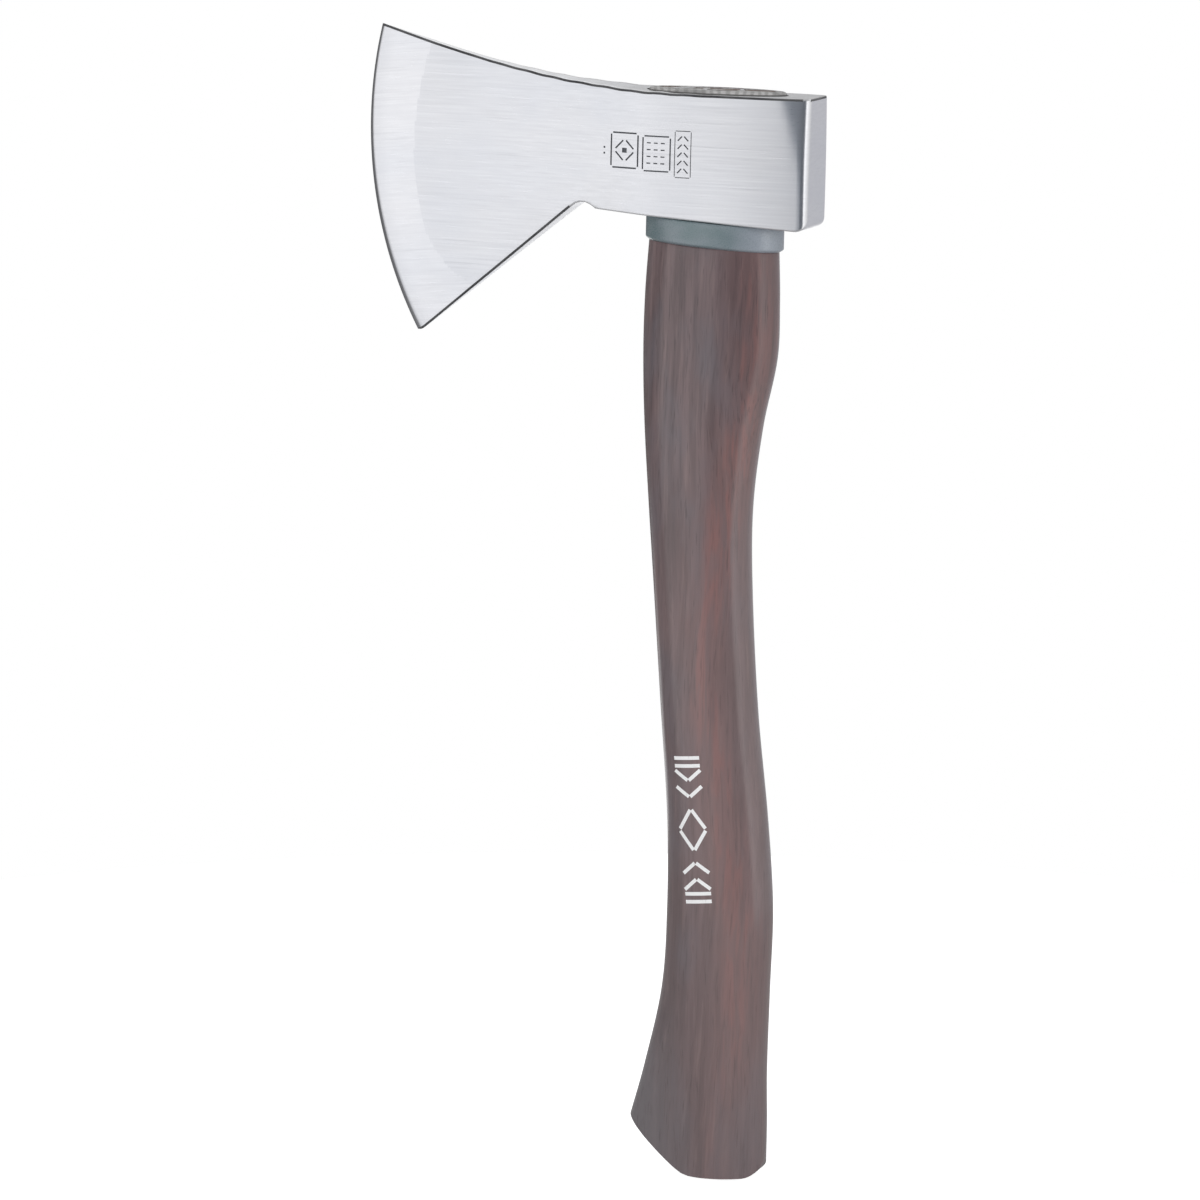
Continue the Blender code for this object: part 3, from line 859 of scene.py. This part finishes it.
def row_shares(length):
    """Places along a column of this length: tight at the rims, even between."""
    rim = [RIM_ROWS * (1 - math.sin(math.radians(a))) / length for a in (90, 67.5, 45, 22.5, 0)]
    rim.append(RIM_ROWS_END / length)
    inner = spread(rim[-1], 1 - rim[-1], INNER_ROWS)[1:-1]
    return rim + inner + [1 - r for r in reversed(rim)]


def head_columns():
    """Columns of (x, z, share) from the cutting edge to the poll, heel to toe."""
    columns = []
    for part in MICRO_COLUMNS:
        column = []
        for share in row_shares(EDGE_LENGTH):
            radius = EDGE_RADIUS - part * micro_width(share)
            column.append((*edge_point(radius, mix(*arc_ends(radius), share)), share))
        columns.append(column)
    for depth in spread(BEVEL_COLUMNS_START, BEVEL_ZONE, BEVEL_COLUMNS):
        radius = EDGE_RADIUS - depth
        low, high = arc_ends(radius)
        shares = row_shares(radius * (high - low))
        columns.append([(*edge_point(radius, mix(low, high, share)), share) for share in shares])
    return columns + cheek_columns(columns[-1], radius, high - low)


def cheek_columns(last, radius, angle):
    """From the bevel zone back, the arcs straighten out until they are upright lines."""
    low_x, high_x = last[0][0], last[-1][0]
    bulge = radius * (1 - math.cos(angle / 2))
    columns = []
    for i in range(1, CHEEK_COLUMNS + 1):
        share = i / CHEEK_COLUMNS
        columns.append(bent_column(
            mix(low_x, POLL_X - CHEEK_INSET, share),
            mix(high_x, POLL_X - CHEEK_INSET, share),
            bulge * max(1 - share * CHEEK_STRAIGHTENING, 0) ** 2))
    corner = [POLL_CORNER_RADIUS * (1 - math.sin(math.radians(a))) for a in range(0, 91, 10)]
    for inset in [CORNER_INSET] + corner:
        columns.append(bent_column(POLL_X - inset, POLL_X - inset, 0))
    return columns


def bent_column(low_x, high_x, bulge):
    """A column between the outlines, bowed forwards by bulge."""
    low = Vector((low_x, bottom_z(low_x)))
    high = Vector((high_x, top_z(high_x)))
    chord = (high - low).length
    along = (high - low) / chord
    across = Vector((-along.y, along.x))
    column = []
    for share in row_shares(chord):
        point = mix(low, high, share)
        if bulge > 1e-7:
            half_angle = 2 * math.atan(2 * bulge / chord)
            radius = chord / (2 * math.sin(half_angle))
            turn = (2 * share - 1) * half_angle
            point = (low + high) / 2 + along * radius * math.sin(turn)
            point += across * radius * (math.cos(turn) - math.cos(half_angle))
        column.append((point.x, point.y, share))
    return column


def head_mesh():
    """Both cheeks as grids, closed all round by narrow walls."""
    columns = head_columns()
    verts, faces, borders = [], [], []
    for side in (-1, 1):
        grid = []
        for column in columns:
            grid.append(list(range(len(verts), len(verts) + len(column))))
            verts += [(x, side * half_thickness(x, z, share), z) for x, z, share in column]
        faces += grid_faces(grid)
        borders.append(grid_border(grid))
    near, far = borders
    rings = [near]
    for step in range(1, WALL_STEPS):
        rings.append(list(range(len(verts), len(verts) + len(near))))
        share = step / WALL_STEPS
        verts += [mix(Vector(verts[p]), Vector(verts[q]), share) for p, q in zip(near, far)]
    rings.append(far)
    return mesh_object("head_steel", verts, faces + ring_faces(rings))


def eye_half(z):
    """Half the length of the eye, which widens upwards."""
    share = (z - POLL_BOTTOM_Z) / (TOP_Z - POLL_BOTTOM_Z)
    return mix(EYE_BOTTOM_LENGTH, EYE_TOP_LENGTH, share) / 2


def eye_cutter():
    """A closed oval tube, wider at the chamfer round the eye's upper end."""
    levels = (
        (POLL_BOTTOM_Z - 8 * MM, 0),
        (TOP_Z - EYE_CHAMFER, 0),
        (TOP_Z, EYE_CHAMFER),
        (TOP_Z + 6 * MM, EYE_CHAMFER),
    )
    verts = []
    for z, extra in levels:
        half_length = eye_half(z) + extra
        half_width = eye_half(z) * EYE_ASPECT + extra
        for turn in turns_of(EYE_SEGMENTS):
            verts.append((EYE_X + half_length * math.cos(turn), half_width * math.sin(turn), z))
    faces = band_faces(len(levels), EYE_SEGMENTS)
    faces.append(tuple(range(EYE_SEGMENTS - 1, -1, -1)))
    faces.append(tuple(range(len(verts) - EYE_SEGMENTS, len(verts))))
    return mesh_object("eye_cutter", verts, faces)


# ---- stamped marks

def stroke(start, end, width):
    """A straight stroke as its four corners in (x, z). It is given in millimetres."""
    start, end = Vector(start) * MM, Vector(end) * MM
    along = (end - start).normalized()
    across = Vector((-along.y, along.x)) * width * MM / 2
    return [start - across, end - across, end + across, start + across]


def frame_strokes(left, right, low, high, width):
    """A rectangle of four strokes that stop short of its corners, so that none overlap."""
    return [
        stroke((left + width, low), (right - width, low), width),
        stroke((left + width, high), (right - width, high), width),
        stroke((left, low + width), (left, high - width), width),
        stroke((right, low + width), (right, high - width), width),
    ]


def stamp_strokes():
    """Two dots, a frame with a diamond, a frame with dashes and a frame with chevrons, in millimetres."""
    strokes = [stroke((-43.5, z), (-42.9, z), 0.6) for z in (325.9, 324.1)]
    strokes += frame_strokes(-40.8, -31.6, 319.9, 330.7, 0.5)
    centre = Vector((-36.2, 325.3))
    for quarter in range(4):
        turned = Matrix.Rotation(math.radians(90 * quarter), 2)
        start, end = (centre + turned @ Vector(tip) for tip in ((3.1, 0.5), (0.5, 3.1)))
        strokes.append(stroke(start, end, 0.5))
    strokes.append(stroke(centre - Vector((0.8, 0)), centre + Vector((0.8, 0)), 1.5))
    strokes += frame_strokes(-29.9, -20.9, 319.4, 330.2, 0.45)
    for row in range(4):
        for column in range(3):
            x, z = -28.6 + 2.3 * column, 321.8 + 2.1 * row
            strokes.append(stroke((x, z), (x + 1.3, z), 0.375))
    strokes += frame_strokes(-19.4, -14.2, 317.8, 332.2, 0.25)
    for row in range(5):
        z = 319.2 + 2.5 * row
        strokes.append(stroke((-18.5, z), (-17.15, z + 1.4), 0.4))
        strokes.append(stroke((-16.45, z + 1.4), (-15.1, z), 0.4))
    return strokes


def stamp_cutter():
    """All strokes as one mesh of prisms that follow the cheek's surface."""
    verts, faces = [], []
    for corners in stamp_strokes():
        steps = max(1, round((corners[1] - corners[0]).length / STAMP_STEP))
        rings = []
        for i in range(steps + 1):
            rings.append([len(verts) + k for k in (0, 1, 3, 2)])
            lower = mix(corners[0], corners[1], i / steps)
            upper = mix(corners[3], corners[2], i / steps)
            for point in (lower, upper):
                surface = body_half(point.x, point.y)
                verts.append((point.x, -(surface - STAMP_DEPTH), point.y))
                verts.append((point.x, -(surface + STAMP_STAND_OFF), point.y))
        faces += ring_faces(rings) + [rings[0][::-1], rings[-1]]
    return mesh_object("stamp_cutter", verts, faces)


def paint_steel(head):
    """Gives the bevel, the top, the dark rims and the narrow sides their own finishes. The dark rims
    carry painted dark reflection as well as forged steel.
    """
    for polygon in head.data.polygons:
        if polygon.material_index != STEEL:
            continue
        x, _, z = polygon.center
        to_top, to_bottom = rim_distances(x, z)
        on_cheek = abs(polygon.normal.y) > 0.02
        if EDGE_RADIUS - math.hypot(x - EDGE_CENTRE.x, z - EDGE_CENTRE.y) < HONED_STRIP:
            polygon.material_index = BEVEL
        # dark rims along the cheeks: partly forged steel, partly painted dark reflection
        elif on_cheek and to_top < DARK_RIM and x < POLL_X - POLL_CORNER_RADIUS:
            polygon.material_index = FORGED_AND_SHADED
        elif on_cheek and to_bottom < DARK_RIM and x < NOTCH.x:
            polygon.material_index = FORGED_AND_SHADED
        # the poll's dark upper edge: painted dark reflection
        elif x > POLL_X - POLL_RIM and z > TOP_Z - DARK_RIM:
            polygon.material_index = FORGED_AND_SHADED
        elif to_top < DARK_RIM and polygon.normal.z > 0.7:
            polygon.material_index = TOP
        elif on_bevel(x, z):
            polygon.material_index = BEVEL


def make_head():
    head = head_mesh()
    materials = [
        ground_steel("ground_steel", STEEL_LIGHT, STEEL_DARK),
        # dark rims: partly forged steel, partly painted dark reflection
        forged_and_shaded_rim_steel(),
        groove_paint(),
        # the bevel carries painted dark reflection along the cutting edge
        ground_steel("bevel_steel", BEVEL_LIGHT, BEVEL_DARK, BEVEL_LINE_TURN, painted_edge_reflection),
        ground_steel("top_steel", STEEL_LIGHT, STEEL_DARK, finish=dull_tone),
    ]
    for material in materials:
        head.data.materials.append(material)
    for cutter, finish in ((eye_cutter(), STEEL), (stamp_cutter(), STAMP)):
        cutter.data.materials.append(materials[finish])
        cut(head, cutter)
    paint_steel(head)
    shade(head, 32)
    return place(head, "ground_steel", "axe_head")


# ---- handle

def smooth_value(z, column):
    """Cubic interpolation of one column of the handle's stations at height z, in metres."""
    stations = HANDLE_STATIONS
    z = clamp(z / MM, stations[0][0], stations[-1][0])
    index = max(i for i in range(len(stations) - 1) if i == 0 or stations[i][0] <= z)
    here, after = stations[index], stations[index + 1]
    before = stations[max(index - 1, 0)]
    beyond = stations[min(index + 2, len(stations) - 1)]
    span = after[0] - here[0]
    slope_here = (after[column] - before[column]) / (after[0] - before[0])
    slope_after = (beyond[column] - here[column]) / (beyond[0] - here[0])
    t = (z - here[0]) / span
    return MM * (
        (2 * t**3 - 3 * t**2 + 1) * here[column]
        + (t**3 - 2 * t**2 + t) * span * slope_here
        + (3 * t**2 - 2 * t**3) * after[column]
        + (t**3 - t**2) * span * slope_after
    )


def section(z):
    """Centre, half length, half width, squareness and slope of the handle at height z."""
    front, back, width = (smooth_value(z, column) for column in (1, 2, 3))
    blend = clamp((z - SHOULDER_START_Z) / (SHOULDER_END_Z - SHOULDER_START_Z))
    squareness = mix(GRIP_SQUARENESS, SHOULDER_SQUARENESS, blend)
    return (front + back) / 2, (back - front) / 2, width / 2, squareness, UNDERSIDE_SLOPE * blend


def on_oval(turn, half_length, half_width, squareness):
    c, s = math.cos(turn), math.sin(turn)
    x = math.copysign(abs(c) ** (2 / squareness), c) * half_length
    y = math.copysign(abs(s) ** (2 / squareness), s) * half_width
    return x, y


def handle_point(z, turn):
    centre, half_length, half_width, squareness, tilt = section(z)
    x, y = on_oval(turn, half_length, half_width, squareness)
    return Vector((centre + x, y, z + tilt * x))


def end_z(x, y):
    """Height of the handle's end surface: gently domed, rounded up at the back, cut off at the front."""
    facet = FOOT_TIP.y - (x - FOOT_TIP.x) * FOOT_SLOPE
    dome = END_DOME * (((x - END_LOWEST_X) / (14 * MM)) ** 2 + 0.6 * (y / (11 * MM)) ** 2)
    end = handle_low.z + dome + rounding(END_BACK_X - x, END_BACK_RADIUS)
    return soft_max(facet, end, FOOT_SOFTNESS)


def end_point(turn):
    """Where the side of the handle at this turn meets the end surface."""
    z = 5 * MM
    for _ in range(24):
        point = handle_point(z, turn)
        z = mix(z, end_z(point.x, point.y), 0.7)
    return handle_point(z, turn)


def shoulder_z():
    underside = POLL_BOTTOM_Z + (COLLAR_X - POLL_X) * UNDERSIDE_SLOPE
    return underside - COLLAR_HEIGHT - COLLAR_SEAT


def side_rings(turns):
    """Rings up the handle's side, from its slanted and domed end to the shoulder."""
    ends = [end_point(turn) for turn in turns]
    rings = [ends]
    for i in range(1, FOOT_RINGS):
        share = (i / FOOT_RINGS) ** 1.25
        rings.append([
            handle_point(mix(end.z, HANDLE_FOOT_Z, share), turn) for turn, end in zip(turns, ends)])
    for z in spread(HANDLE_FOOT_Z, shoulder_z(), GRIP_RINGS):
        rings.append([handle_point(z, turn) for turn in turns])
    return rings


def inset_ring(ring, inset, rise):
    """The ring drawn in towards its middle line and moved up by rise."""
    centre = sum(ring, Vector()) / len(ring)
    result = []
    for point in ring:
        out = Vector((point.x - centre.x, point.y - centre.y, 0)).normalized()
        result.append(point - out * inset + Vector((0, 0, rise)))
    return result


def end_cap_rings(ring):
    """Rings on the handle's end surface, from its rim to near its middle."""
    rings = []
    for share in (0.94, 0.87, 0.79, 0.70, 0.60, 0.49, 0.37, 0.25, 0.13):
        inner = []
        for point in ring:
            x, y = mix(END_MIDDLE_X, point.x, share), point.y * share
            inner.append(Vector((x, y, end_z(x, y))))
        rings.append(inner)
    return rings


def tenon_ring(z, inset, turns, tilt=0.0):
    """An oval that fills the eye at height z but for the inset."""
    length = eye_half(z) - inset
    width = eye_half(z) * EYE_ASPECT - inset
    ring = []
    for turn in turns:
        x = length * math.cos(turn)
        ring.append(Vector((EYE_X + x, width * math.sin(turn), z + tilt * x)))
    return ring


def closed_loft(name, rings, first_tip, last_tip):
    """A skin over the rings, closed by a fan to a tip at each end."""
    count = len(rings[0])
    verts = [point for ring in rings for point in ring]
    faces = band_faces(len(rings), count)
    first, last = len(verts), len(verts) + 1
    verts += [first_tip, last_tip]
    top = (len(rings) - 1) * count
    for i in range(count):
        j = (i + 1) % count
        faces.append((first, j, i))
        faces.append((last, top + i, top + j))
    return mesh_object(name, verts, faces)


def handle_body():
    """End cap, sides, a step in to the tenon, and the tenon with its rounded rim."""
    turns = turns_of(HANDLE_SEGMENTS)
    sides = side_rings(turns)
    rings = list(reversed(end_cap_rings(sides[0]))) + sides
    for inset, rise in ((0.25 * MM, 0.35 * MM), (0.8 * MM, 0.5 * MM)):
        rings.append(inset_ring(sides[-1], inset, rise))
    top = shoulder_z()
    rings.append(tenon_ring(top + 0.5 * MM, 0.05 * MM, turns, UNDERSIDE_SLOPE))
    for z in spread(top + 4 * MM, TENON_TOP_Z - 1.3 * MM, 16):
        rings.append(tenon_ring(z, 0.03 * MM, turns))
    for inset, drop in ((0.15, 0.75), (0.5, 0.3), (1.1, 0.06)):
        rings.append(tenon_ring(TENON_TOP_Z - drop * MM, inset * MM, turns))
    rim = rings[-1]
    for share in (0.88, 0.74, 0.58, 0.42, 0.26, 0.12):
        rings.append([Vector((mix(EYE_X, p.x, share), p.y * share, TENON_TOP_Z)) for p in rim])
    end_tip = Vector((END_MIDDLE_X, 0, end_z(END_MIDDLE_X, 0)))
    return closed_loft("handle_wood", rings, end_tip, Vector((EYE_X, 0, TENON_TOP_Z)))


def wedge_shape(name, size, x, turn, grow, rise, bevel):
    """A wedge in the tenon's top, grown by the clearance grow and standing out by rise."""
    length, top_width, bottom_width, depth = size
    bm = bmesh.new()
    bmesh.ops.create_cube(bm, size=1)
    for vert in bm.verts:
        above = vert.co.z > 0
        vert.co.x *= length + 2 * grow
        vert.co.y *= (top_width if above else bottom_width) + 2 * grow
        vert.co.z = 0 if above else -(depth + rise)
    if bevel:
        upper = [e for e in bm.edges if all(v.co.z == 0 for v in e.verts)]
        bmesh.ops.bevel(bm, geom=upper, offset=bevel, segments=3, profile=0.6, affect="EDGES")
    at = Matrix.Translation((x, 0, TENON_TOP_Z + rise)) @ Matrix.Rotation(turn, 4, "Z")
    bmesh.ops.transform(bm, matrix=at, verts=bm.verts)
    return bmesh_object(name, bm)


def kerf_shape(name, grow, rise, bevel):
    return wedge_shape(name, KERF_SIZE, EYE_X, 0, grow, rise, bevel)


def flat_wedge_shape(name, grow, rise, bevel):
    return wedge_shape(name, FLAT_WEDGE_SIZE, FLAT_WEDGE_X, FLAT_WEDGE_TURN, grow, rise, bevel)


def tube(name, profile):
    """A ring turned about the ring wedge's upright axis, from a closed (radius, z) profile."""
    verts = []
    for turn in turns_of(RING_SEGMENTS):
        for radius, z in profile:
            verts.append((RING_X + radius * math.cos(turn), radius * math.sin(turn), z))
    return mesh_object(name, verts, band_faces(RING_SEGMENTS, len(profile), closed=True))


def cut_metal_slots(obj):
    """Cuts the slots of the two metal wedges, with a little clearance."""
    cut(obj, flat_wedge_shape("flat_slot", SLOT_GAP, SLOT_RISE, 0))
    inner, outer = RING_INNER / 2 - SLOT_GAP, RING_OUTER / 2 + SLOT_GAP
    low, high = TENON_TOP_Z - RING_DEPTH - 0.2 * MM, TENON_TOP_Z + SLOT_RISE
    cut(obj, tube("ring_slot", [(inner, low), (outer, low), (outer, high), (inner, high)]))


def make_handle():
    """The wood, with a softened rim round its end, and the kerf and slots for the wedges."""
    handle = handle_body()
    bevel = handle.modifiers.new("rim", "BEVEL")
    bevel.width = 1.1 * MM
    bevel.segments = 4
    bevel.limit_method = "ANGLE"
    bevel.angle_limit = math.radians(40)
    handle.data.materials.append(stained_hickory())
    handle.data.materials.append(end_grain())
    for polygon in handle.data.polygons:
        if polygon.center.z > END_GRAIN_Z:
            polygon.material_index = 1
    cut(handle, kerf_shape("kerf", SLOT_GAP, SLOT_RISE, 0))
    cut_metal_slots(handle)
    shade(handle, 40)
    return place(handle, "stained_hickory", "handle")


def make_wedges():
    wooden = kerf_shape("wooden_wedge_piece", 0, -0.15 * MM, 0.15 * MM)
    wooden.data.materials.append(wedge_beech())
    cut_metal_slots(wooden)
    shade(wooden)
    place(wooden, "wedge_wood", "wooden_wedge")

    steel = wedge_steel()
    inner, outer = RING_INNER / 2, RING_OUTER / 2
    low, high = TENON_TOP_Z - RING_DEPTH, TENON_TOP_Z - 0.1 * MM
    soft = 0.25 * MM
    profile = [
        (inner, low), (outer - 0.6 * MM, low), (outer, high - soft), (outer - soft, high),
        (inner + soft, high), (inner, high - soft),
    ]
    ring = tube("ring_wedge_piece", profile)
    ring.data.materials.append(steel)
    shade(ring, 30)
    place(ring, "wedge_steel", "ring_wedge")

    flat = flat_wedge_shape("flat_wedge_piece", 0, 0.1 * MM, 0.2 * MM)
    flat.data.materials.append(steel)
    shade(flat, 30)
    place(flat, "wedge_steel", "flat_wedge")


# ---- collar

def make_collar():
    """An oval sleeve: upright rim, then a chamfer in to the handle's shoulder."""
    low = shoulder_z() + 0.3 * MM
    high = low + COLLAR_HEIGHT + 0.4 * MM
    profile = [
        (2.6, low), (1.0, low), (0.82, low + 0.06 * MM), (0.18, low + 0.62 * MM),
        (0.05, low + 0.8 * MM), (0.0, low + 1.05 * MM), (0.0, high - 2.4 * MM),
        (0.0, high - 0.5 * MM), (0.12, high - 0.2 * MM), (0.4, high), (2.6, high),
    ]
    verts = []
    for turn in turns_of(COLLAR_SEGMENTS):
        for inset, z in profile:
            half_length = COLLAR_LENGTH / 2 - inset * MM
            half_width = COLLAR_WIDTH / 2 - inset * MM
            x, y = on_oval(turn, half_length, half_width, SHOULDER_SQUARENESS)
            verts.append((COLLAR_X + x, y, z + UNDERSIDE_SLOPE * x))
    faces = band_faces(COLLAR_SEGMENTS, len(profile), closed=True)
    collar = mesh_object("collar_sleeve", verts, faces)
    collar.data.materials.append(collar_plastic())
    shade(collar, 40)
    return place(collar, "grey_plastic", "handle_collar")


# ---- printed mark

def ink_strokes():
    """A symmetrical row of bars, chevrons and a diamond, as strokes in (along, across), metres."""
    h = INK_HEIGHT / 2
    middle = (INK_TOP - INK_BOTTOM).length / 2
    strokes = []
    for side in (-1, 1):
        for at in (22.9 * MM, 20.4 * MM):
            strokes.append(((middle + side * at, -h), (middle + side * at, h)))
        for at in (15.8 * MM, 10.6 * MM):
            tip, tail = middle + side * at, middle + side * (at + 3.2 * MM)
            for across in (-1, 1):
                strokes.append(((tail, across * h), (tip, across * INK_STROKE * 0.2)))
        corner = middle + side * 6.4 * MM
        for across in (-1, 1):
            inner = (middle + side * INK_STROKE * 0.3, across * h)
            strokes.append(((corner, across * INK_STROKE * 0.2), inner))
    return strokes


def handle_surface(x, z):
    """Half width of the handle at (x, z)."""
    centre, half_length, half_width, squareness, _ = section(z)
    share = clamp(abs(x - centre) / half_length, 0, 0.999)
    return half_width * (1 - share**squareness) ** (1 / squareness)


def make_printed_mark():
    """Ink strokes laid on the right side of the grip, each a thin film of its own."""
    verts, faces = [], []
    axis = (INK_BOTTOM - INK_TOP).normalized()
    side = Vector((-axis.y, axis.x))
    for start, end in ink_strokes():
        borders = []
        start, end = Vector(start), Vector(end)
        along = (end - start).normalized()
        across = Vector((-along.y, along.x)) * INK_STROKE / 2
        for film in (INK_FILM, -INK_FILM):
            grid = []
            for i in range(INK_LONG_STEPS + 1):
                grid.append(list(range(len(verts), len(verts) + INK_WIDE_STEPS + 1)))
                for j in range(INK_WIDE_STEPS + 1):
                    flat = mix(start, end, i / INK_LONG_STEPS) + across * (2 * j / INK_WIDE_STEPS - 1)
                    point = INK_TOP + axis * flat.x + side * flat.y
                    verts.append((point.x, -handle_surface(point.x, point.y) - film, point.y))
            faces += grid_faces(grid)
            borders.append(grid_border(grid))
        faces += ring_faces(borders)
    mark = mesh_object("printed_mark", verts, faces)
    mark.data.materials.append(white_ink())
    shade(mark, 50)
    return place(mark, "white_ink")


# ---- studio

def make_camera():
    data = bpy.data.cameras.new("camera")
    data.lens = CAMERA_LENS
    data.sensor_width = CAMERA_SENSOR
    data.clip_start = 0.05
    data.clip_end = 30
    camera = add_object("camera", data)
    back = Vector((
        math.sin(CAMERA_AZIMUTH) * math.cos(CAMERA_ELEVATION),
        -math.cos(CAMERA_AZIMUTH) * math.cos(CAMERA_ELEVATION),
        math.sin(CAMERA_ELEVATION)))
    camera.location = (cad_low + cad_high) / 2 + CAMERA_AIM_OFFSET + back * CAMERA_DISTANCE
    camera.rotation_mode = "QUATERNION"
    level = (-back).to_track_quat("-Z", "Y")
    camera.rotation_quaternion = level @ Quaternion((0, 0, 1), CAMERA_ROLL)
    bpy.context.scene.camera = camera


def grey(value, tint=(1.0, 1.0, 1.0)):
    return tuple(value * part for part in tint)


def stop(degrees, value, tint=(1.0, 1.0, 1.0)):
    """A stop of the studio's ramp, at this many degrees round from straight ahead."""
    return (degrees / 360 + 0.5, grey(value, tint))


def make_world():
    """A white studio: soft panels and dark flags all round, seen only in light and gloss."""
    world = bpy.data.worlds.new("studio")
    bpy.context.scene.world = world
    world.use_nodes = True
    nodes = Nodes(world.node_tree)
    background = world.node_tree.nodes["Background"]
    x, y, z = nodes.split(nodes.add("ShaderNodeTexCoord").outputs["Generated"])
    toward = nodes.times(y, -1.0)
    turn = nodes.math("DIVIDE", nodes.math("ARCTAN2", x, toward), 2 * math.pi)
    cool = (0.99, 0.995, 1.015)
    slate = (0.86, 0.98, 1.16)
    lilac = (0.98, 0.985, 1.04)
    around = nodes.ramp(nodes.plus(turn, 0.5), [
        stop(-180, 0.54, lilac), stop(-162, 0.47), stop(-148, 0.25), stop(-100, 0.13), stop(-66, 0.16),
        stop(-58, 0.95), stop(-46, 1.1, cool), stop(-30, 1.09, cool), stop(-17, 1.07, cool),
        stop(-9, 0.82, cool), stop(0, 0.25, slate), stop(12, 0.13, slate), stop(53, 0.14, slate),
        stop(60, 1.15), stop(68, 1.55), stop(80, 1.2), stop(98, 1.0), stop(122, 0.72),
        stop(148, 0.57, lilac), stop(180, 0.54, lilac)])
    behind = nodes.remap(y, 0.25, 0.6)
    upper_back = nodes.times(behind, nodes.remap(z, 0.20, 0.28))
    left_back = nodes.times(behind, nodes.remap(x, -0.05, -0.18))
    level_back = nodes.times(left_back, nodes.remap(z, 0.0, -0.08))
    lower_back = nodes.times(left_back, nodes.remap(z, -0.19, -0.225))
    studio = nodes.blend(nodes.remap(z, 0.35, 0.6), around, grey(0.28))
    studio = nodes.blend(upper_back, studio, grey(1.15))
    studio = nodes.blend(level_back, studio, grey(0.12))
    studio = nodes.blend(lower_back, studio, grey(1.5))
    studio = nodes.blend(nodes.remap(z, 0.80, 0.93), studio, grey(0.85))
    path = nodes.add("ShaderNodeLightPath")
    ambient = nodes.blend(nodes.remap(toward, -0.5, 0.8), grey(0.17), grey(0.44))
    studio = nodes.blend(path.outputs["Is Diffuse Ray"], studio, ambient)
    studio = nodes.blend(path.outputs["Is Camera Ray"], studio, grey(1.0))
    nodes.link(studio, background.inputs["Color"])


def make_lights():
    """Three large softboxes that model the wood and plastic; the steel mirrors the surroundings."""
    aim = (cad_low + cad_high) / 2
    for name, place_at, size, power in (
        ("key_light", (0.1, -1.8, 1.0), 1.0, 11),
        ("side_light", (1.6, -0.7, 0.4), 0.8, 12),
        ("fill_light", (-1.6, -1.1, 0.2), 1.0, 12),
    ):
        data = bpy.data.lights.new(name, "AREA")
        data.shape = "RECTANGLE"
        data.size = size
        data.size_y = size * 1.3
        data.energy = power
        light = add_object(name, data)
        light.visible_glossy = False
        light.location = place_at
        light.rotation_mode = "QUATERNION"
        light.rotation_quaternion = (aim - Vector(place_at)).to_track_quat("-Z", "Y")


def make_floor():
    """A plain round floor, as white as its surroundings, and greyer in the gloss and the light."""
    bm = bmesh.new()
    bmesh.ops.create_circle(bm, cap_ends=True, segments=64, radius=0.5)
    floor = bmesh_object("floor", bm)
    floor.location.z = handle_low.z - 0.2 * MM
    material, nodes, shader, _ = new_material("pale_floor")
    seen = nodes.add("ShaderNodeLightPath").outputs["Is Camera Ray"]
    nodes.fill(shader, {
        "Base Color": (0.8, 0.8, 0.8, 1),
        "Roughness": 0.9,
        "Specular IOR Level": 0.0,
        "Emission Color": (1, 1, 1, 1),
        "Emission Strength": nodes.times(seen, 0.9),
    })
    floor.data.materials.append(material)


def main():
    make_camera()
    make_world()
    make_lights()
    make_floor()
    make_head()
    make_collar()
    make_handle()
    make_wedges()
    make_printed_mark()
    bpy.context.scene.view_settings.view_transform = "Standard"


main()
bpy.context.view_layer.update()
